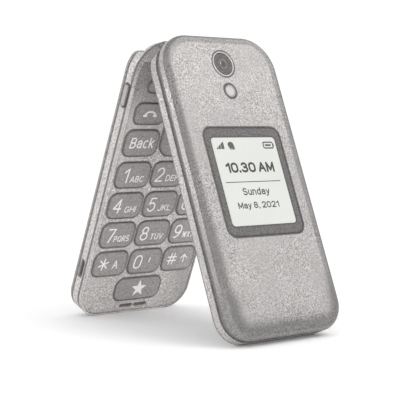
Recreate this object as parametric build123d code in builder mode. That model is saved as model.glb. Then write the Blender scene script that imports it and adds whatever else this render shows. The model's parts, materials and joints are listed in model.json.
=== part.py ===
from build123d import *
import os
from math import sin, cos, radians

os.makedirs("parts", exist_ok=True)

# ---------------------------------------------------------------- driving dimensions (mm)
width = 53.0            # across the phone, along the hinge
reach = 108.0           # hinge axis to the free end of each half
lid_tail = 3.0          # lid shell beyond the hinge axis
base_tail = 3.2         # base shell and knuckles beyond the hinge axis
r_hinge_end = 13.0      # plan corner radius at the hinge end
r_free_end = 9.5        # plan corner radius at the free end
r_pocket = 6.0          # corner radius of the hollows near the hinge
half_angle = 22.25      # each half leans this far from upright in the tent
gap = 0.25              # each inner face stands this far from the parting plane
lid_thick = 9.75        # parting plane to the lid's outer face
base_thick = 9.25       # parting plane to the battery cover's outer face
edge_soft = 0.5         # small rounding of the inner rims

barrel_r = 3.9          # hinge barrel and knuckles
relief_r = 4.25         # clearance cylinder around them
barrel_half = 17.1      # half length of the lid's barrel
knuckle_in = 17.3       # inner face of each knuckle of the base

x_off = 0.30            # centres the width, volume rocker included
y_off = -0.2146         # centres the depth of the tent

# keypad
col_pitch = 16.7
key_w, key_h, key_r = 15.6, 10.4, 3.2
row_v = {"call": 24.0, "back": 35.6, "1": 48.5, "4": 61.0, "7": 73.3, "star": 85.55}
key_gap = 0.2           # between a key and its hole, each side
flange_out = 0.35       # key flange beyond the key
key_travel = 0.3
socket_v, socket_z = 88.8, -4.6
rocker_v, rocker_z = 18.4, -4.1

# lid, outer side
cam_v, cam_r = 8.3, 4.9
flash_v, flash_r = 18.8, 2.7
win_w, win_h, win_v = 36.2, 40.0, 52.8
rim_r = 2.3             # roll-off of the lid's outer rim

# ---------------------------------------------------------------- frames
axis_height = (reach - edge_soft) * cos(radians(half_angle)) \
    - (gap + edge_soft) * sin(radians(half_angle)) + edge_soft
sa, ca = sin(radians(half_angle)), cos(radians(half_angle))
hinge = (x_off, y_off, axis_height)
# local x runs along the hinge, y up towards it, z out of the face
LID = Plane(origin=hinge, x_dir=(1, 0, 0), z_dir=(0, -ca, sa))
KEY = Plane(origin=hinge, x_dir=(1, 0, 0), z_dir=(0, -ca, -sa))
# side profiles: local x towards the hinge, local y out of the face
LID_SIDE = Plane(origin=hinge, x_dir=(0, sa, ca), z_dir=(1, 0, 0))
KEY_SIDE = Plane(origin=hinge, x_dir=(0, -sa, ca), z_dir=(1, 0, 0))
# rounds about the hinge axis
ROUND = Plane(origin=hinge, x_dir=(0, 1, 0), z_dir=(1, 0, 0))
lid_out = Axis(hinge, (0, -ca, sa))
key_out = Axis(hinge, (0, -ca, -sa))


def slab(inset, tail_end, top_r=r_hinge_end, low_r=r_free_end, top=None):
    """Plan outline of one half, moved in by inset; top cuts it off towards the hinge."""
    half = width / 2 - inset
    head = (tail_end - inset) if top is None else top
    foot = -(reach - inset)
    a = max(top_r - inset, 0.6)
    b = max(low_r - inset, 0.6)
    with BuildLine(Plane.XY) as edge:
        FilletPolyline((half, head), (half, foot), (-half, foot), (-half, head),
                       radius=[a, b, b, a], close=True)
    make_face(edge.edges())


def cut_round(radius, x0, x1):
    """Takes a cylinder about the hinge axis, from x0 to x1, out of the part."""
    with BuildSketch(ROUND.offset(x0)) as disc:
        Circle(radius)
    extrude(disc.sketch, amount=x1 - x0, mode=Mode.SUBTRACT)


def finish(part, label):
    part.label = label
    export_step(part, "parts/" + label + ".step")


lid_posts = [(-20.4, -9.6), (20.4, -9.6), (-19.6, -99.4), (19.6, -99.4)]
base_posts = [(-20.4, -9.2), (20.4, -9.2), (-19.6, -99.4), (19.6, -99.4)]

# ================================================================ LID
# ---- outer housing: domed shell with seats for window, camera and flash
out_z0 = 5.7
with BuildPart() as lid_outer_housing:
    with BuildSketch(LID.offset(out_z0)):
        slab(0, lid_tail)
    extrude(amount=lid_thick - out_z0)
    # the free end falls away in a long soft curve
    with BuildSketch(LID_SIDE.offset(-width)):
        with BuildLine():
            l1 = TangentArc((-reach + 12.0, lid_thick), (-reach - 2.0, lid_thick - 2.0), tangent=(-1, 0))
            Polyline(l1 @ 1, (-reach - 2.0, lid_thick + 1), (-reach + 12.0, lid_thick + 1), l1 @ 0)
        make_face()
    extrude(amount=2 * width, mode=Mode.SUBTRACT)
    rim = []
    for e in lid_outer_housing.edges():
        p0, p1 = LID.to_local_coords(e @ 0), LID.to_local_coords(e @ 1)
        upright = abs(p0.X - p1.X) < 0.01 and abs(p0.Y - p1.Y) < 0.01
        across = abs(p0.Y + reach - 12.0) < 0.3 and abs(p1.Y + reach - 12.0) < 0.3 and abs(p0.X - p1.X) > 40
        if min(p0.Z, p1.Z) > out_z0 + 0.5 and not upright and not across:
            rim.append(e)
    fillet(rim, rim_r)
    with BuildSketch(LID.offset(out_z0)):
        slab(1.4, lid_tail)
    extrude(amount=1.5, mode=Mode.SUBTRACT)
    with BuildSketch(LID.offset(out_z0 + 1.5)):
        slab(2.9, lid_tail, low_r=r_free_end + 2)
    extrude(amount=1.1, mode=Mode.SUBTRACT)
    # posts for the lid screws
    with BuildSketch(LID.offset(3.95)):
        with Locations(*lid_posts):
            Circle(2.1)
    extrude(amount=8.4 - 3.95)
    with BuildSketch(LID.offset(3.95)):
        with Locations(*lid_posts):
            Circle(0.75)
    extrude(amount=3.0, mode=Mode.SUBTRACT)
    # window seat and display opening
    with BuildSketch(LID.offset(8.85)):
        with Locations((0, -win_v)):
            RectangleRounded(win_w, win_h, 3.7)
    extrude(amount=3, mode=Mode.SUBTRACT)
    with BuildSketch(LID.offset(6.0)):
        with Locations((0, -win_v)):
            RectangleRounded(win_w - 2.6, win_h - 2.6, 2.4)
    extrude(amount=4, mode=Mode.SUBTRACT)
    # camera and flash seats
    with BuildSketch(LID.offset(8.95)):
        with Locations((0, -cam_v)):
            Circle(cam_r)
        with Locations((0, -flash_v)):
            Circle(flash_r)
    extrude(amount=2, mode=Mode.SUBTRACT)
    with BuildSketch(LID.offset(6.0)):
        with Locations((0, -cam_v)):
            Circle(3.6)
        with Locations((0, -flash_v)):
            Circle(2.0)
    extrude(amount=4, mode=Mode.SUBTRACT)
finish(lid_outer_housing.part, "lid_outer_housing")

# ---- mid frame: narrow dark band set back between the two lid shells
with BuildPart() as lid_mid_frame:
    with BuildSketch(LID.offset(3.9)):
        slab(0.7, lid_tail)
    extrude(amount=out_z0 - 3.9)
    with BuildSketch(LID.offset(3.9)):
        slab(3.4, lid_tail)
    extrude(amount=out_z0 - 3.9, mode=Mode.SUBTRACT)
    cut_round(relief_r, -width / 2 - 1, width / 2 + 1)
finish(lid_mid_frame.part, "lid_mid_frame")

# ---- inner housing: frame of the main display with the hinge barrel
lens_w, lens_h, lens_v = 46.4, 76.0, 52.5
lcd_w, lcd_h, lcd_v = 44.6, 62.0, 52.0
with BuildPart() as lid_inner_housing:
    with BuildSketch(LID.offset(gap)):
        slab(0, lid_tail)
    extrude(amount=3.9 - gap)
    fillet(lid_inner_housing.edges().group_by(lid_out)[0], edge_soft)
    with BuildSketch(LID.offset(1.5)):
        slab(1.5, 0, top=-6.6, top_r=r_pocket)
    extrude(amount=4, mode=Mode.SUBTRACT)
    # relief for the two knuckles of the base
    cut_round(relief_r, barrel_half, width / 2 + 1)
    cut_round(relief_r, -width / 2 - 1, -barrel_half)
    # barrel
    with BuildSketch(ROUND.offset(-barrel_half)):
        Circle(barrel_r)
    extrude(amount=2 * barrel_half)
    # bore for the cartridge on the right, for the pivot bush on the left, flex passage between
    cut_round(2.7, 5.0, barrel_half)
    cut_round(2.05, -barrel_half, -8.0)
    cut_round(1.5, -8.0, 5.0)
    with BuildSketch(LID_SIDE.offset(-7.0)):
        with Locations((-4.0, 1.6)):
            Rectangle(8.0, 1.0)
    extrude(amount=5.0, mode=Mode.SUBTRACT)
    # lens seat and display opening
    with BuildSketch(LID.offset(-0.5)):
        with Locations((0, -lens_v)):
            RectangleRounded(lens_w + 0.2, lens_h + 0.2, 3.6)
    extrude(amount=0.5 + 1.15, mode=Mode.SUBTRACT)
    with BuildSketch(LID.offset(0)):
        with Locations((0, -lcd_v)):
            RectangleRounded(lcd_w - 1.8, lcd_h - 3.4, 0.6)
    extrude(amount=2, mode=Mode.SUBTRACT)
    # earpiece slot
    with BuildSketch(LID.offset(0)):
        with Locations((0, -97.6)):
            SlotOverall(13.0, 2.0)
    extrude(amount=2, mode=Mode.SUBTRACT)
    # screw posts, screw holes and bumper seats
    with BuildSketch(LID.offset(1.4)):
        with Locations(*lid_posts):
            Circle(2.6)
    extrude(amount=3.9 - 1.4)
    with BuildSketch(LID.offset(0)):
        with Locations(*lid_posts):
            Circle(2.0)
    extrude(amount=2.2, mode=Mode.SUBTRACT)
    with BuildSketch(LID.offset(0)):
        with Locations(*lid_posts):
            Circle(0.85)
    extrude(amount=4.5, mode=Mode.SUBTRACT)
finish(lid_inner_housing.part, "lid_inner_housing")

# ---- outer display: window, panel and its holder
with BuildPart() as outer_window:
    with BuildSketch(LID.offset(8.87)):
        with Locations((0, -win_v)):
            RectangleRounded(win_w - 0.2, win_h - 0.2, 3.6)
    extrude(amount=lid_thick + 0.02 - 8.87)
    fillet(outer_window.edges().group_by(lid_out)[-1], 0.25)
finish(outer_window.part, "outer_window")

with BuildPart() as outer_display_panel:
    with BuildSketch(LID.offset(7.2)):
        with Locations((0, -win_v)):
            RectangleRounded(win_w - 3.2, win_h - 3.2, 2.2)
    extrude(amount=1.6)
finish(outer_display_panel.part, "outer_display_panel")

with BuildPart() as outer_display_holder:
    with BuildSketch(LID.offset(5.0)):
        with Locations((0, -win_v)):
            Rectangle(win_w - 3.6, win_h - 3.6)
            Rectangle(win_w - 8.0, win_h - 8.0, mode=Mode.SUBTRACT)
    extrude(amount=2.2)
finish(outer_display_holder.part, "outer_display_holder")

# ---- camera: ring, cover glass and module
with BuildPart() as camera_ring:
    with BuildSketch(LID.offset(8.97)):
        with Locations((0, -cam_v)):
            Circle(cam_r - 0.08)
            Circle(4.32, mode=Mode.SUBTRACT)
    extrude(amount=lid_thick + 0.22 - 8.97)
    chamfer(camera_ring.edges().group_by(lid_out)[-1], 0.2)
finish(camera_ring.part, "camera_ring")

with BuildPart() as camera_glass:
    with BuildSketch(LID.offset(8.97)):
        with Locations((0, -cam_v)):
            Circle(4.27)
    extrude(amount=lid_thick - 8.97)
    fillet(camera_glass.edges().group_by(lid_out)[-1], 0.3)
finish(camera_glass.part, "camera_glass")

with BuildPart() as camera_module:
    with BuildSketch(LID.offset(5.0)):
        with Locations((0, -cam_v)):
            RectangleRounded(8.4, 8.4, 0.6)
    extrude(amount=2.0)
    with BuildSketch(LID.offset(7.0)):
        with Locations((0, -cam_v)):
            Circle(3.3)
    extrude(amount=1.9)
finish(camera_module.part, "camera_module")

# ---- flash: ring and lens
with BuildPart() as flash_ring:
    with BuildSketch(LID.offset(8.97)):
        with Locations((0, -flash_v)):
            Circle(flash_r - 0.08)
            Circle(2.05, mode=Mode.SUBTRACT)
    extrude(amount=lid_thick + 0.06 - 8.97)
    chamfer(flash_ring.edges().group_by(lid_out)[-1], 0.12)
finish(flash_ring.part, "flash_ring")

with BuildPart() as flash_lens:
    with BuildSketch(LID.offset(6.4)):
        with Locations((0, -flash_v)):
            Circle(1.6)
    extrude(amount=2.57)
    with BuildSketch(LID.offset(8.97)):
        with Locations((0, -flash_v)):
            Circle(2.0)
    extrude(amount=lid_thick - 0.02 - 8.97)
    fillet(flash_lens.edges().group_by(lid_out)[-1], 0.25)
finish(flash_lens.part, "flash_lens")

# ---- lid circuit board
with BuildPart() as lid_board:
    with BuildSketch(LID.offset(4.2)):
        slab(3.6, 0, top=-6.8, top_r=r_pocket)
        with Locations(*lid_posts):
            Circle(2.9, mode=Mode.SUBTRACT)
    extrude(amount=0.8)
    # connectors and chips on the inner side
    with BuildSketch(LID.offset(3.3)):
        with Locations((-9, -12), (8, -88)):
            Rectangle(9, 3.2)
        with Locations((12, -13)):
            Rectangle(5, 5)
    extrude(amount=0.9)
    # flash lamp on the outer side
    with BuildSketch(LID.offset(5.0)):
        with Locations((0, -flash_v)):
            Rectangle(3.2, 3.2)
    extrude(amount=0.7)
    with BuildSketch(LID.offset(5.7)):
        with Locations((0, -flash_v)):
            Circle(1.2)
    extrude(amount=0.5)
finish(lid_board.part, "lid_board")

# ---- main display
with BuildPart() as main_window:
    with BuildSketch(LID.offset(0.30)):
        with Locations((0, -lens_v)):
            RectangleRounded(lens_w, lens_h, 3.5)
    extrude(amount=0.84)
finish(main_window.part, "main_window")

with BuildPart() as main_display_panel:
    with BuildSketch(LID.offset(1.52)):
        with Locations((0, -lcd_v)):
            Rectangle(lcd_w, lcd_h)
    extrude(amount=1.6)
finish(main_display_panel.part, "main_display_panel")

# ---- earpiece
with BuildPart() as earpiece:
    with BuildSketch(LID.offset(1.55)):
        with Locations((0, -98.6)):
            RectangleRounded(15.0, 6.0, 1.5)
    extrude(amount=2.4)
finish(earpiece.part, "earpiece")

with BuildPart() as earpiece_mesh:
    with BuildSketch(LID.offset(0.7)):
        with Locations((0, -97.6)):
            SlotOverall(12.8, 1.8)
    extrude(amount=0.5)
finish(earpiece_mesh.part, "earpiece_mesh")

# ---- magnet that tells the base the lid is shut
with BuildPart() as lid_magnet:
    with BuildSketch(LID.offset(1.55)):
        with Locations((18.0, -91.0)):
            RectangleRounded(4.0, 5.0, 0.4)
    extrude(amount=1.8)
finish(lid_magnet.part, "lid_magnet")

# ---- soft bumpers over the screws
with BuildPart() as lid_bumpers:
    with BuildSketch(LID.offset(-0.4)):
        with Locations(*lid_posts[2:]):
            Circle(1.9)
    extrude(amount=1.3)
    with BuildSketch(LID.offset(0.0)):
        with Locations(*lid_posts[:2]):
            Circle(1.9)
    extrude(amount=0.9)
    fillet(lid_bumpers.edges().group_by(lid_out)[0], 0.3)
finish(lid_bumpers.part, "lid_bumpers")

with BuildPart() as lid_screws:
    with BuildSketch(LID.offset(1.1)):
        with Locations(*lid_posts):
            Circle(1.6)
    extrude(amount=1.1)
    with BuildSketch(LID.offset(2.2)):
        with Locations(*lid_posts):
            Circle(0.75)
    extrude(amount=4.2)
    with BuildSketch(LID.offset(1.1)):
        with Locations(*lid_posts):
            Rectangle(1.8, 0.4)
            Rectangle(0.4, 1.8)
    extrude(amount=0.5, mode=Mode.SUBTRACT)
finish(lid_screws.part, "lid_screws")

# ================================================================ HINGE
with BuildPart() as hinge_cartridge:
    with BuildSketch(ROUND.offset(5.05)):
        Circle(2.7)
    extrude(amount=12.0)
    cut_round(1.55, 9.0, 18.0)
finish(hinge_cartridge.part, "hinge_cartridge")

with BuildPart() as hinge_cam_shaft:
    with BuildSketch(ROUND.offset(9.6)):
        Circle(1.5)
    extrude(amount=knuckle_in - 9.6)
    with BuildSketch(ROUND.offset(knuckle_in)):
        Circle(2.38)
    extrude(amount=2.58)
finish(hinge_cam_shaft.part, "hinge_cam_shaft")

with BuildPart() as hinge_pivot_bush:
    with BuildSketch(ROUND.offset(-knuckle_in)):
        Circle(2.0)
    extrude(amount=8.3)
    with BuildSketch(ROUND.offset(-knuckle_in - 2.58)):
        Circle(2.38)
    extrude(amount=2.58)
    cut_round(1.35, -knuckle_in - 3, -8.0)
finish(hinge_pivot_bush.part, "hinge_pivot_bush")

# the flat cable is rolled where it runs through the bush and lies flat in the lid
with BuildPart() as hinge_flex:
    with BuildSketch(ROUND.offset(-19.6)):
        Circle(1.1)
        Circle(0.85, mode=Mode.SUBTRACT)
    extrude(amount=17.4)
    with BuildSketch(LID_SIDE.offset(-6.6)):
        with BuildLine():
            Polyline((-0.6, 0.88), (-0.6, 1.72), (-8.6, 1.72), (-8.6, 3.28), (-11.9, 3.28), (-11.9, 3.08),
                     (-8.8, 3.08), (-8.8, 1.52), (-0.8, 1.52), (-0.8, 0.75), (-0.6, 0.88))
        make_face()
    extrude(amount=4.2)
finish(hinge_flex.part, "hinge_flex")

# ================================================================ BASE
seam = -6.4             # between the front housing and the battery cover
face_z = -0.6           # keypad face, just below the rim
plate_z = -1.4          # underside of the keypad plate

keys = []               # label, x, y, width, height, radius
for label, col, row in (("key_1", -1, "1"), ("key_2", 0, "1"), ("key_3", 1, "1"),
                        ("key_4", -1, "4"), ("key_5", 0, "4"), ("key_6", 1, "4"),
                        ("key_7", -1, "7"), ("key_8", 0, "7"), ("key_9", 1, "7"),
                        ("key_asterisk", -1, "star"), ("key_0", 0, "star"), ("key_hash", 1, "star"),
                        ("key_back", -1, "back"), ("key_menu", 1, "back")):
    keys.append((label, col * col_pitch, -row_v[row], key_w, key_h, key_r))
keys.append(("key_call", -16.0, -row_v["call"], 14.2, 8.2, 2.8))
keys.append(("key_end", 16.0, -row_v["call"], 14.2, 8.2, 2.8))
keys.append(("key_soft_left", -14.2, -13.4, 11.4, 4.8, 2.2))
keys.append(("key_soft_right", 14.2, -13.4, 11.4, 4.8, 2.2))
keys.append(("key_star", 0, -97.5, 22.0, 9.7, 3.4))
nav_w, nav_h, nav_v, nav_r = 15.4, 21.6, 30.1, 5.4
sel_w, sel_h, sel_r = 8.4, 9.0, 3.4

# the two knuckles, shaped to the plan outline of the base
with BuildPart() as knuckles:
    for x0 in (knuckle_in, -width / 2):
        with BuildSketch(ROUND.offset(x0)):
            Circle(barrel_r)
        extrude(amount=width / 2 - knuckle_in)
    with BuildSketch(KEY.offset(-8)):
        slab(0, base_tail)
    extrude(amount=16, mode=Mode.INTERSECT)

with BuildPart() as base_front_housing:
    with BuildSketch(KEY.offset(seam)):
        slab(0, base_tail)
    extrude(amount=-gap - seam)
    fillet(base_front_housing.edges().group_by(key_out)[-1], edge_soft)
    # sloped end face behind the hinge, which leaves room for the opened lid
    with BuildSketch(KEY_SIDE.offset(-width)):
        with BuildLine():
            Polyline((-0.6, 0), (-2.0, -3.8), (-2.32, -6.4), (-4.1, -11.3), (9, -11.3), (9, 0.5), (-0.6, 0.5), (-0.6, 0))
        make_face()
    extrude(amount=2 * width, mode=Mode.SUBTRACT)
    # room for the lid's barrel
    cut_round(relief_r, -knuckle_in, knuckle_in)
    # hollow behind the keypad plate
    with BuildSketch(KEY.offset(seam - 1)):
        slab(1.5, 0, top=-6.6, top_r=r_pocket)
    extrude(amount=plate_z - seam + 1, mode=Mode.SUBTRACT)
    # keypad face
    with BuildSketch(KEY.offset(face_z)):
        slab(0.9, base_tail)
    extrude(amount=2, mode=Mode.SUBTRACT)
    # key holes
    with BuildSketch(KEY.offset(plate_z - 0.2)):
        for label, kx, ky, kw, kh, kr in keys:
            with Locations((kx, ky)):
                RectangleRounded(kw + 2 * key_gap, kh + 2 * key_gap, kr + key_gap)
        with Locations((0, -nav_v)):
            RectangleRounded(nav_w + 2 * key_gap, nav_h + 2 * key_gap, nav_r + key_gap)
    extrude(amount=2, mode=Mode.SUBTRACT)
    # microphone slots
    with BuildSketch(KEY.offset(plate_z - 0.2)):
        with Locations((-3.5, -104.9), (3.5, -104.9)):
            SlotOverall(6.6, 1.5)
    extrude(amount=2, mode=Mode.SUBTRACT)
    # openings in the left wall: volume rocker and socket
    with BuildSketch(Plane(origin=KEY.from_local_coords((-width / 2 - 1, 0, 0)), x_dir=KEY.y_dir, z_dir=(1, 0, 0))):
        with Locations((-rocker_v, rocker_z)):
            RectangleRounded(8.9, 3.0, 1.3)
        with Locations((-socket_v, socket_z)):
            SlotOverall(7.8, 2.8)
    extrude(amount=3, mode=Mode.SUBTRACT)
    # screw posts
    with BuildSketch(KEY.offset(-3.6)):
        with Locations(*base_posts):
            Circle(1.7)
    extrude(amount=3.6 + plate_z)
    with BuildSketch(KEY.offset(-3.6)):
        with Locations(*base_posts):
            Circle(0.75)
    extrude(amount=2.0, mode=Mode.SUBTRACT)
    add(knuckles.part)
    cut_round(2.4, knuckle_in, knuckle_in + 2.6)
    cut_round(2.4, -knuckle_in - 2.6, -knuckle_in)
finish(base_front_housing.part, "base_front_housing")

# ---- keys
for label, kx, ky, kw, kh, kr in keys:
    with BuildPart() as key:
        with BuildSketch(KEY.offset(-1.85)):
            with Locations((kx, ky)):
                RectangleRounded(kw + 2 * flange_out, kh + 2 * flange_out, kr + flange_out)
        extrude(amount=0.4)
        with BuildSketch(KEY.offset(-1.45)):
            with Locations((kx, ky)):
                RectangleRounded(kw, kh, kr)
        extrude(amount=1.15)
        fillet(key.edges().group_by(key_out)[-1], 0.35)
    finish(key.part, label)

with BuildPart() as nav_ring:
    with BuildSketch(KEY.offset(-1.85)):
        with Locations((0, -nav_v)):
            RectangleRounded(nav_w + 2 * flange_out, nav_h + 2 * flange_out, nav_r + flange_out)
            RectangleRounded(sel_w + 0.4, sel_h + 0.4, sel_r + 0.2, mode=Mode.SUBTRACT)
    extrude(amount=0.4)
    with BuildSketch(KEY.offset(-1.45)):
        with Locations((0, -nav_v)):
            RectangleRounded(nav_w, nav_h, nav_r)
            RectangleRounded(sel_w + 0.4, sel_h + 0.4, sel_r + 0.2, mode=Mode.SUBTRACT)
    extrude(amount=1.15)
    fillet(nav_ring.edges().group_by(key_out)[-1], 0.3)
finish(nav_ring.part, "nav_ring")

with BuildPart() as key_select:
    with BuildSketch(KEY.offset(-1.85)):
        with Locations((0, -nav_v)):
            RectangleRounded(sel_w, sel_h, sel_r)
    extrude(amount=1.5)
    fillet(key_select.edges().group_by(key_out)[-1], 0.35)
finish(key_select.part, "key_select")

# ---- silicone mat, dome sheet and main board behind the keys
with BuildPart() as keypad_mat:
    with BuildSketch(KEY.offset(-2.6)):
        slab(3.3, 0, top=-6.9, top_r=r_pocket)
        with Locations(*base_posts):
            Circle(2.2, mode=Mode.SUBTRACT)
    extrude(amount=0.4)
finish(keypad_mat.part, "keypad_mat")

with BuildPart() as dome_sheet:
    with BuildSketch(KEY.offset(-2.8)):
        slab(3.5, 0, top=-7.1, top_r=r_pocket)
        with Locations(*base_posts):
            Circle(2.2, mode=Mode.SUBTRACT)
    extrude(amount=0.2)
finish(dome_sheet.part, "dome_sheet")

with BuildPart() as main_board:
    with BuildSketch(KEY.offset(-3.6)):
        slab(3.3, 0, top=-6.9, top_r=r_pocket)
        with Locations(*base_posts):
            Circle(2.0, mode=Mode.SUBTRACT)
        with Locations((-22.6, -socket_v)):
            Rectangle(10.0, 9.4, mode=Mode.SUBTRACT)
    extrude(amount=0.8)
    # card holder on the rear side
    with BuildSketch(KEY.offset(-5.1)):
        with Locations((-6.6, -88.6)):
            RectangleRounded(14.0, 11.4, 0.5)
    extrude(amount=1.5)
    with BuildSketch(KEY.offset(-5.1)):
        with Locations((-6.6, -88.0)):
            Rectangle(9.0, 6.0)
    extrude(amount=0.9, mode=Mode.SUBTRACT)
    # the two side switches that the volume rocker presses
    with BuildSketch(Plane(origin=KEY.from_local_coords((-width / 2 + 3.0, 0, 0)), x_dir=KEY.y_dir, z_dir=(1, 0, 0))):
        with Locations((-15.4, -4.5), (-20.6, -4.5)):
            Rectangle(2.8, 1.8)
    extrude(amount=1.6)
finish(main_board.part, "main_board")

# ---- rear housing: tray that holds the battery and closes the electronics
with BuildPart() as base_rear_housing:
    with BuildSketch(KEY.offset(-8.1)):
        slab(1.6, 0, top=-6.7, top_r=r_pocket)
    extrude(amount=8.1 - 3.65)
    # battery bay, open to the rear
    with BuildSketch(KEY.offset(-9)):
        with Locations((0, -50.8)):
            RectangleRounded(46.4, 57.6, 1.0)
    extrude(amount=9 - 4.15, mode=Mode.SUBTRACT)
    # hollow at the hinge end, and hollow at the free end
    with BuildSketch(KEY.offset(-9)):
        with Locations((0, -14.4)):
            RectangleRounded(34.0, 11.2, 1.5)
        with Locations((1.5, -92.6)):
            RectangleRounded(34.0, 20.6, 3.0)
    extrude(amount=9, mode=Mode.SUBTRACT)
    # passage of the battery contacts
    with BuildSketch(KEY.offset(-7.6)):
        with Locations((0, -21.0)):
            Rectangle(12.4, 4.0)
    extrude(amount=3.45, mode=Mode.SUBTRACT)
    # room for the rocker, its switches and the socket
    with BuildSketch(KEY.offset(-6.1)):
        with Locations((-26.0, -18.4)):
            Rectangle(8.6, 15.0)
        with Locations((-22.0, -socket_v)):
            Rectangle(14.0, 9.6)
    extrude(amount=3.4, mode=Mode.SUBTRACT)
    # screw seats
    with BuildSketch(KEY.offset(-9)):
        with Locations(*base_posts):
            Circle(1.8)
    extrude(amount=9 - 4.15, mode=Mode.SUBTRACT)
    with BuildSketch(KEY.offset(-9)):
        with Locations(*base_posts):
            Circle(0.85)
    extrude(amount=9, mode=Mode.SUBTRACT)
finish(base_rear_housing.part, "base_rear_housing")

with BuildPart() as base_screws:
    with BuildSketch(KEY.offset(-5.25)):
        with Locations(*base_posts):
            Circle(1.5)
    extrude(amount=1.1)
    with BuildSketch(KEY.offset(-4.15)):
        with Locations(*base_posts):
            Circle(0.75)
    extrude(amount=2.4)
    with BuildSketch(KEY.offset(-5.25)):
        with Locations(*base_posts):
            Rectangle(1.8, 0.4)
            Rectangle(0.4, 1.8)
    extrude(amount=0.5, mode=Mode.SUBTRACT)
finish(base_screws.part, "base_screws")

# ---- battery and its contacts
with BuildPart() as battery:
    with BuildSketch(KEY.offset(-8.05)):
        with Locations((0, -50.8)):
            RectangleRounded(45.8, 56.8, 1.5)
    extrude(amount=8.05 - 4.2)
    fillet(battery.edges().group_by(key_out)[0], 0.6)
finish(battery.part, "battery")

with BuildPart() as battery_contacts:
    with BuildSketch(KEY.offset(-5.6)):
        with Locations((0, -18.2)):
            RectangleRounded(12.0, 3.0, 0.4)
    extrude(amount=2.0)
    with BuildSketch(KEY.offset(-5.3)):
        with Locations((-4, -21.05), (0, -21.05), (4, -21.05)):
            Rectangle(1.2, 2.7)
    extrude(amount=1.0)
finish(battery_contacts.part, "battery_contacts")

# ---- parts on the rear of the main board
with BuildPart() as shield_cans:
    with BuildSketch(KEY.offset(-5.2)):
        with Locations((-10.0, -12.9)):
            RectangleRounded(12.0, 7.0, 0.5)
        with Locations((-8.6, -98.6)):
            RectangleRounded(11.0, 6.6, 0.5)
    extrude(amount=1.6)
finish(shield_cans.part, "shield_cans")

with BuildPart() as vibration_motor:
    with BuildSketch(KEY.offset(-6.4)):
        with Locations((11.0, -13.6)):
            Circle(4.0)
    extrude(amount=2.8)
finish(vibration_motor.part, "vibration_motor")

with BuildPart() as loudspeaker:
    with BuildSketch(KEY.offset(-7.9)):
        with Locations((10.2, -92.6)):
            RectangleRounded(14.4, 18.4, 2.0)
    extrude(amount=4.3)
    with BuildSketch(KEY.offset(-7.9)):
        with Locations((10.2, -92.6)):
            RectangleRounded(11.0, 14.6, 2.0)
    extrude(amount=0.5, mode=Mode.SUBTRACT)
finish(loudspeaker.part, "loudspeaker")

with BuildPart() as microphone:
    with BuildSketch(KEY.offset(-2.2)):
        with Locations((0, -104.4)):
            RectangleRounded(14.4, 2.6, 0.6)
    extrude(amount=0.8)
finish(microphone.part, "microphone")

with BuildPart() as antenna:
    with BuildSketch(KEY.offset(-8.0)):
        with Locations((0.5, -102.4)):
            Rectangle(27.0, 0.5)
    extrude(amount=4.3)
finish(antenna.part, "antenna")

# ---- socket in the left wall
SOCKET = Plane(origin=KEY.from_local_coords((-width / 2, 0, 0)), x_dir=KEY.y_dir, z_dir=(1, 0, 0))
with BuildPart() as charging_socket:
    with BuildSketch(SOCKET.offset(0.6)):
        with Locations((-socket_v, socket_z)):
            SlotOverall(7.4, 2.4)
            SlotOverall(6.9, 1.9, mode=Mode.SUBTRACT)
    extrude(amount=6.4)
    with BuildSketch(SOCKET.offset(6.4)):
        with Locations((-socket_v, socket_z)):
            SlotOverall(7.2, 2.2)
    extrude(amount=0.6)
    with BuildSketch(SOCKET.offset(1.4)):
        with Locations((-socket_v, socket_z)):
            Rectangle(4.6, 0.5)
    extrude(amount=5.2)
finish(charging_socket.part, "charging_socket")

# ---- volume rocker
with BuildPart() as volume_rocker:
    with BuildSketch(SOCKET.offset(-0.6)):
        with Locations((-rocker_v, rocker_z)):
            RectangleRounded(8.4, 2.5, 1.05)
    extrude(amount=2.6)
    fillet(volume_rocker.edges().group_by(Axis.X)[0], 0.4)
    with BuildSketch(SOCKET.offset(1.9)):
        with Locations((-rocker_v, rocker_z)):
            RectangleRounded(10.0, 3.2, 1.2)
    extrude(amount=0.5)
    # fulcrum rib that the rocker tilts on
    with BuildSketch(KEY.offset(rocker_z - 1.6)):
        with Locations((-width / 2 + 2.15, -rocker_v)):
            Circle(0.55)
    extrude(amount=3.2)
finish(volume_rocker.part, "volume_rocker")

# ---- battery cover: the whole back
with BuildPart() as battery_cover:
    with BuildSketch(KEY.offset(-base_thick)) as cover_plan:
        slab(0, base_tail)
        with Locations((0, -2.3 - 60)):
            Rectangle(80, 120, mode=Mode.INTERSECT)
        fillet(cover_plan.vertices().group_by(Axis.Y)[-1], 3.2)
    extrude(amount=base_thick + seam - 0.15)
    fillet(battery_cover.edges().group_by(key_out)[0], 2.4)
    with BuildSketch(KEY.offset(-8.15)):
        slab(1.35, 0, top=-6.4, top_r=r_pocket)
    extrude(amount=8, mode=Mode.SUBTRACT)
    # loudspeaker slots
    with BuildSketch(KEY.offset(-10)):
        with Locations((10.2, -88.6), (10.2, -91.3), (10.2, -94.0), (10.2, -96.7)):
            SlotOverall(9.0, 1.2)
    extrude(amount=3, mode=Mode.SUBTRACT)
finish(battery_cover.part, "battery_cover")

print("axis height", round(axis_height, 4))
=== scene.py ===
import json
import math
import bpy
import bmesh
from mathutils import Vector, Matrix
from mathutils.geometry import delaunay_2d_cdt


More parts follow.
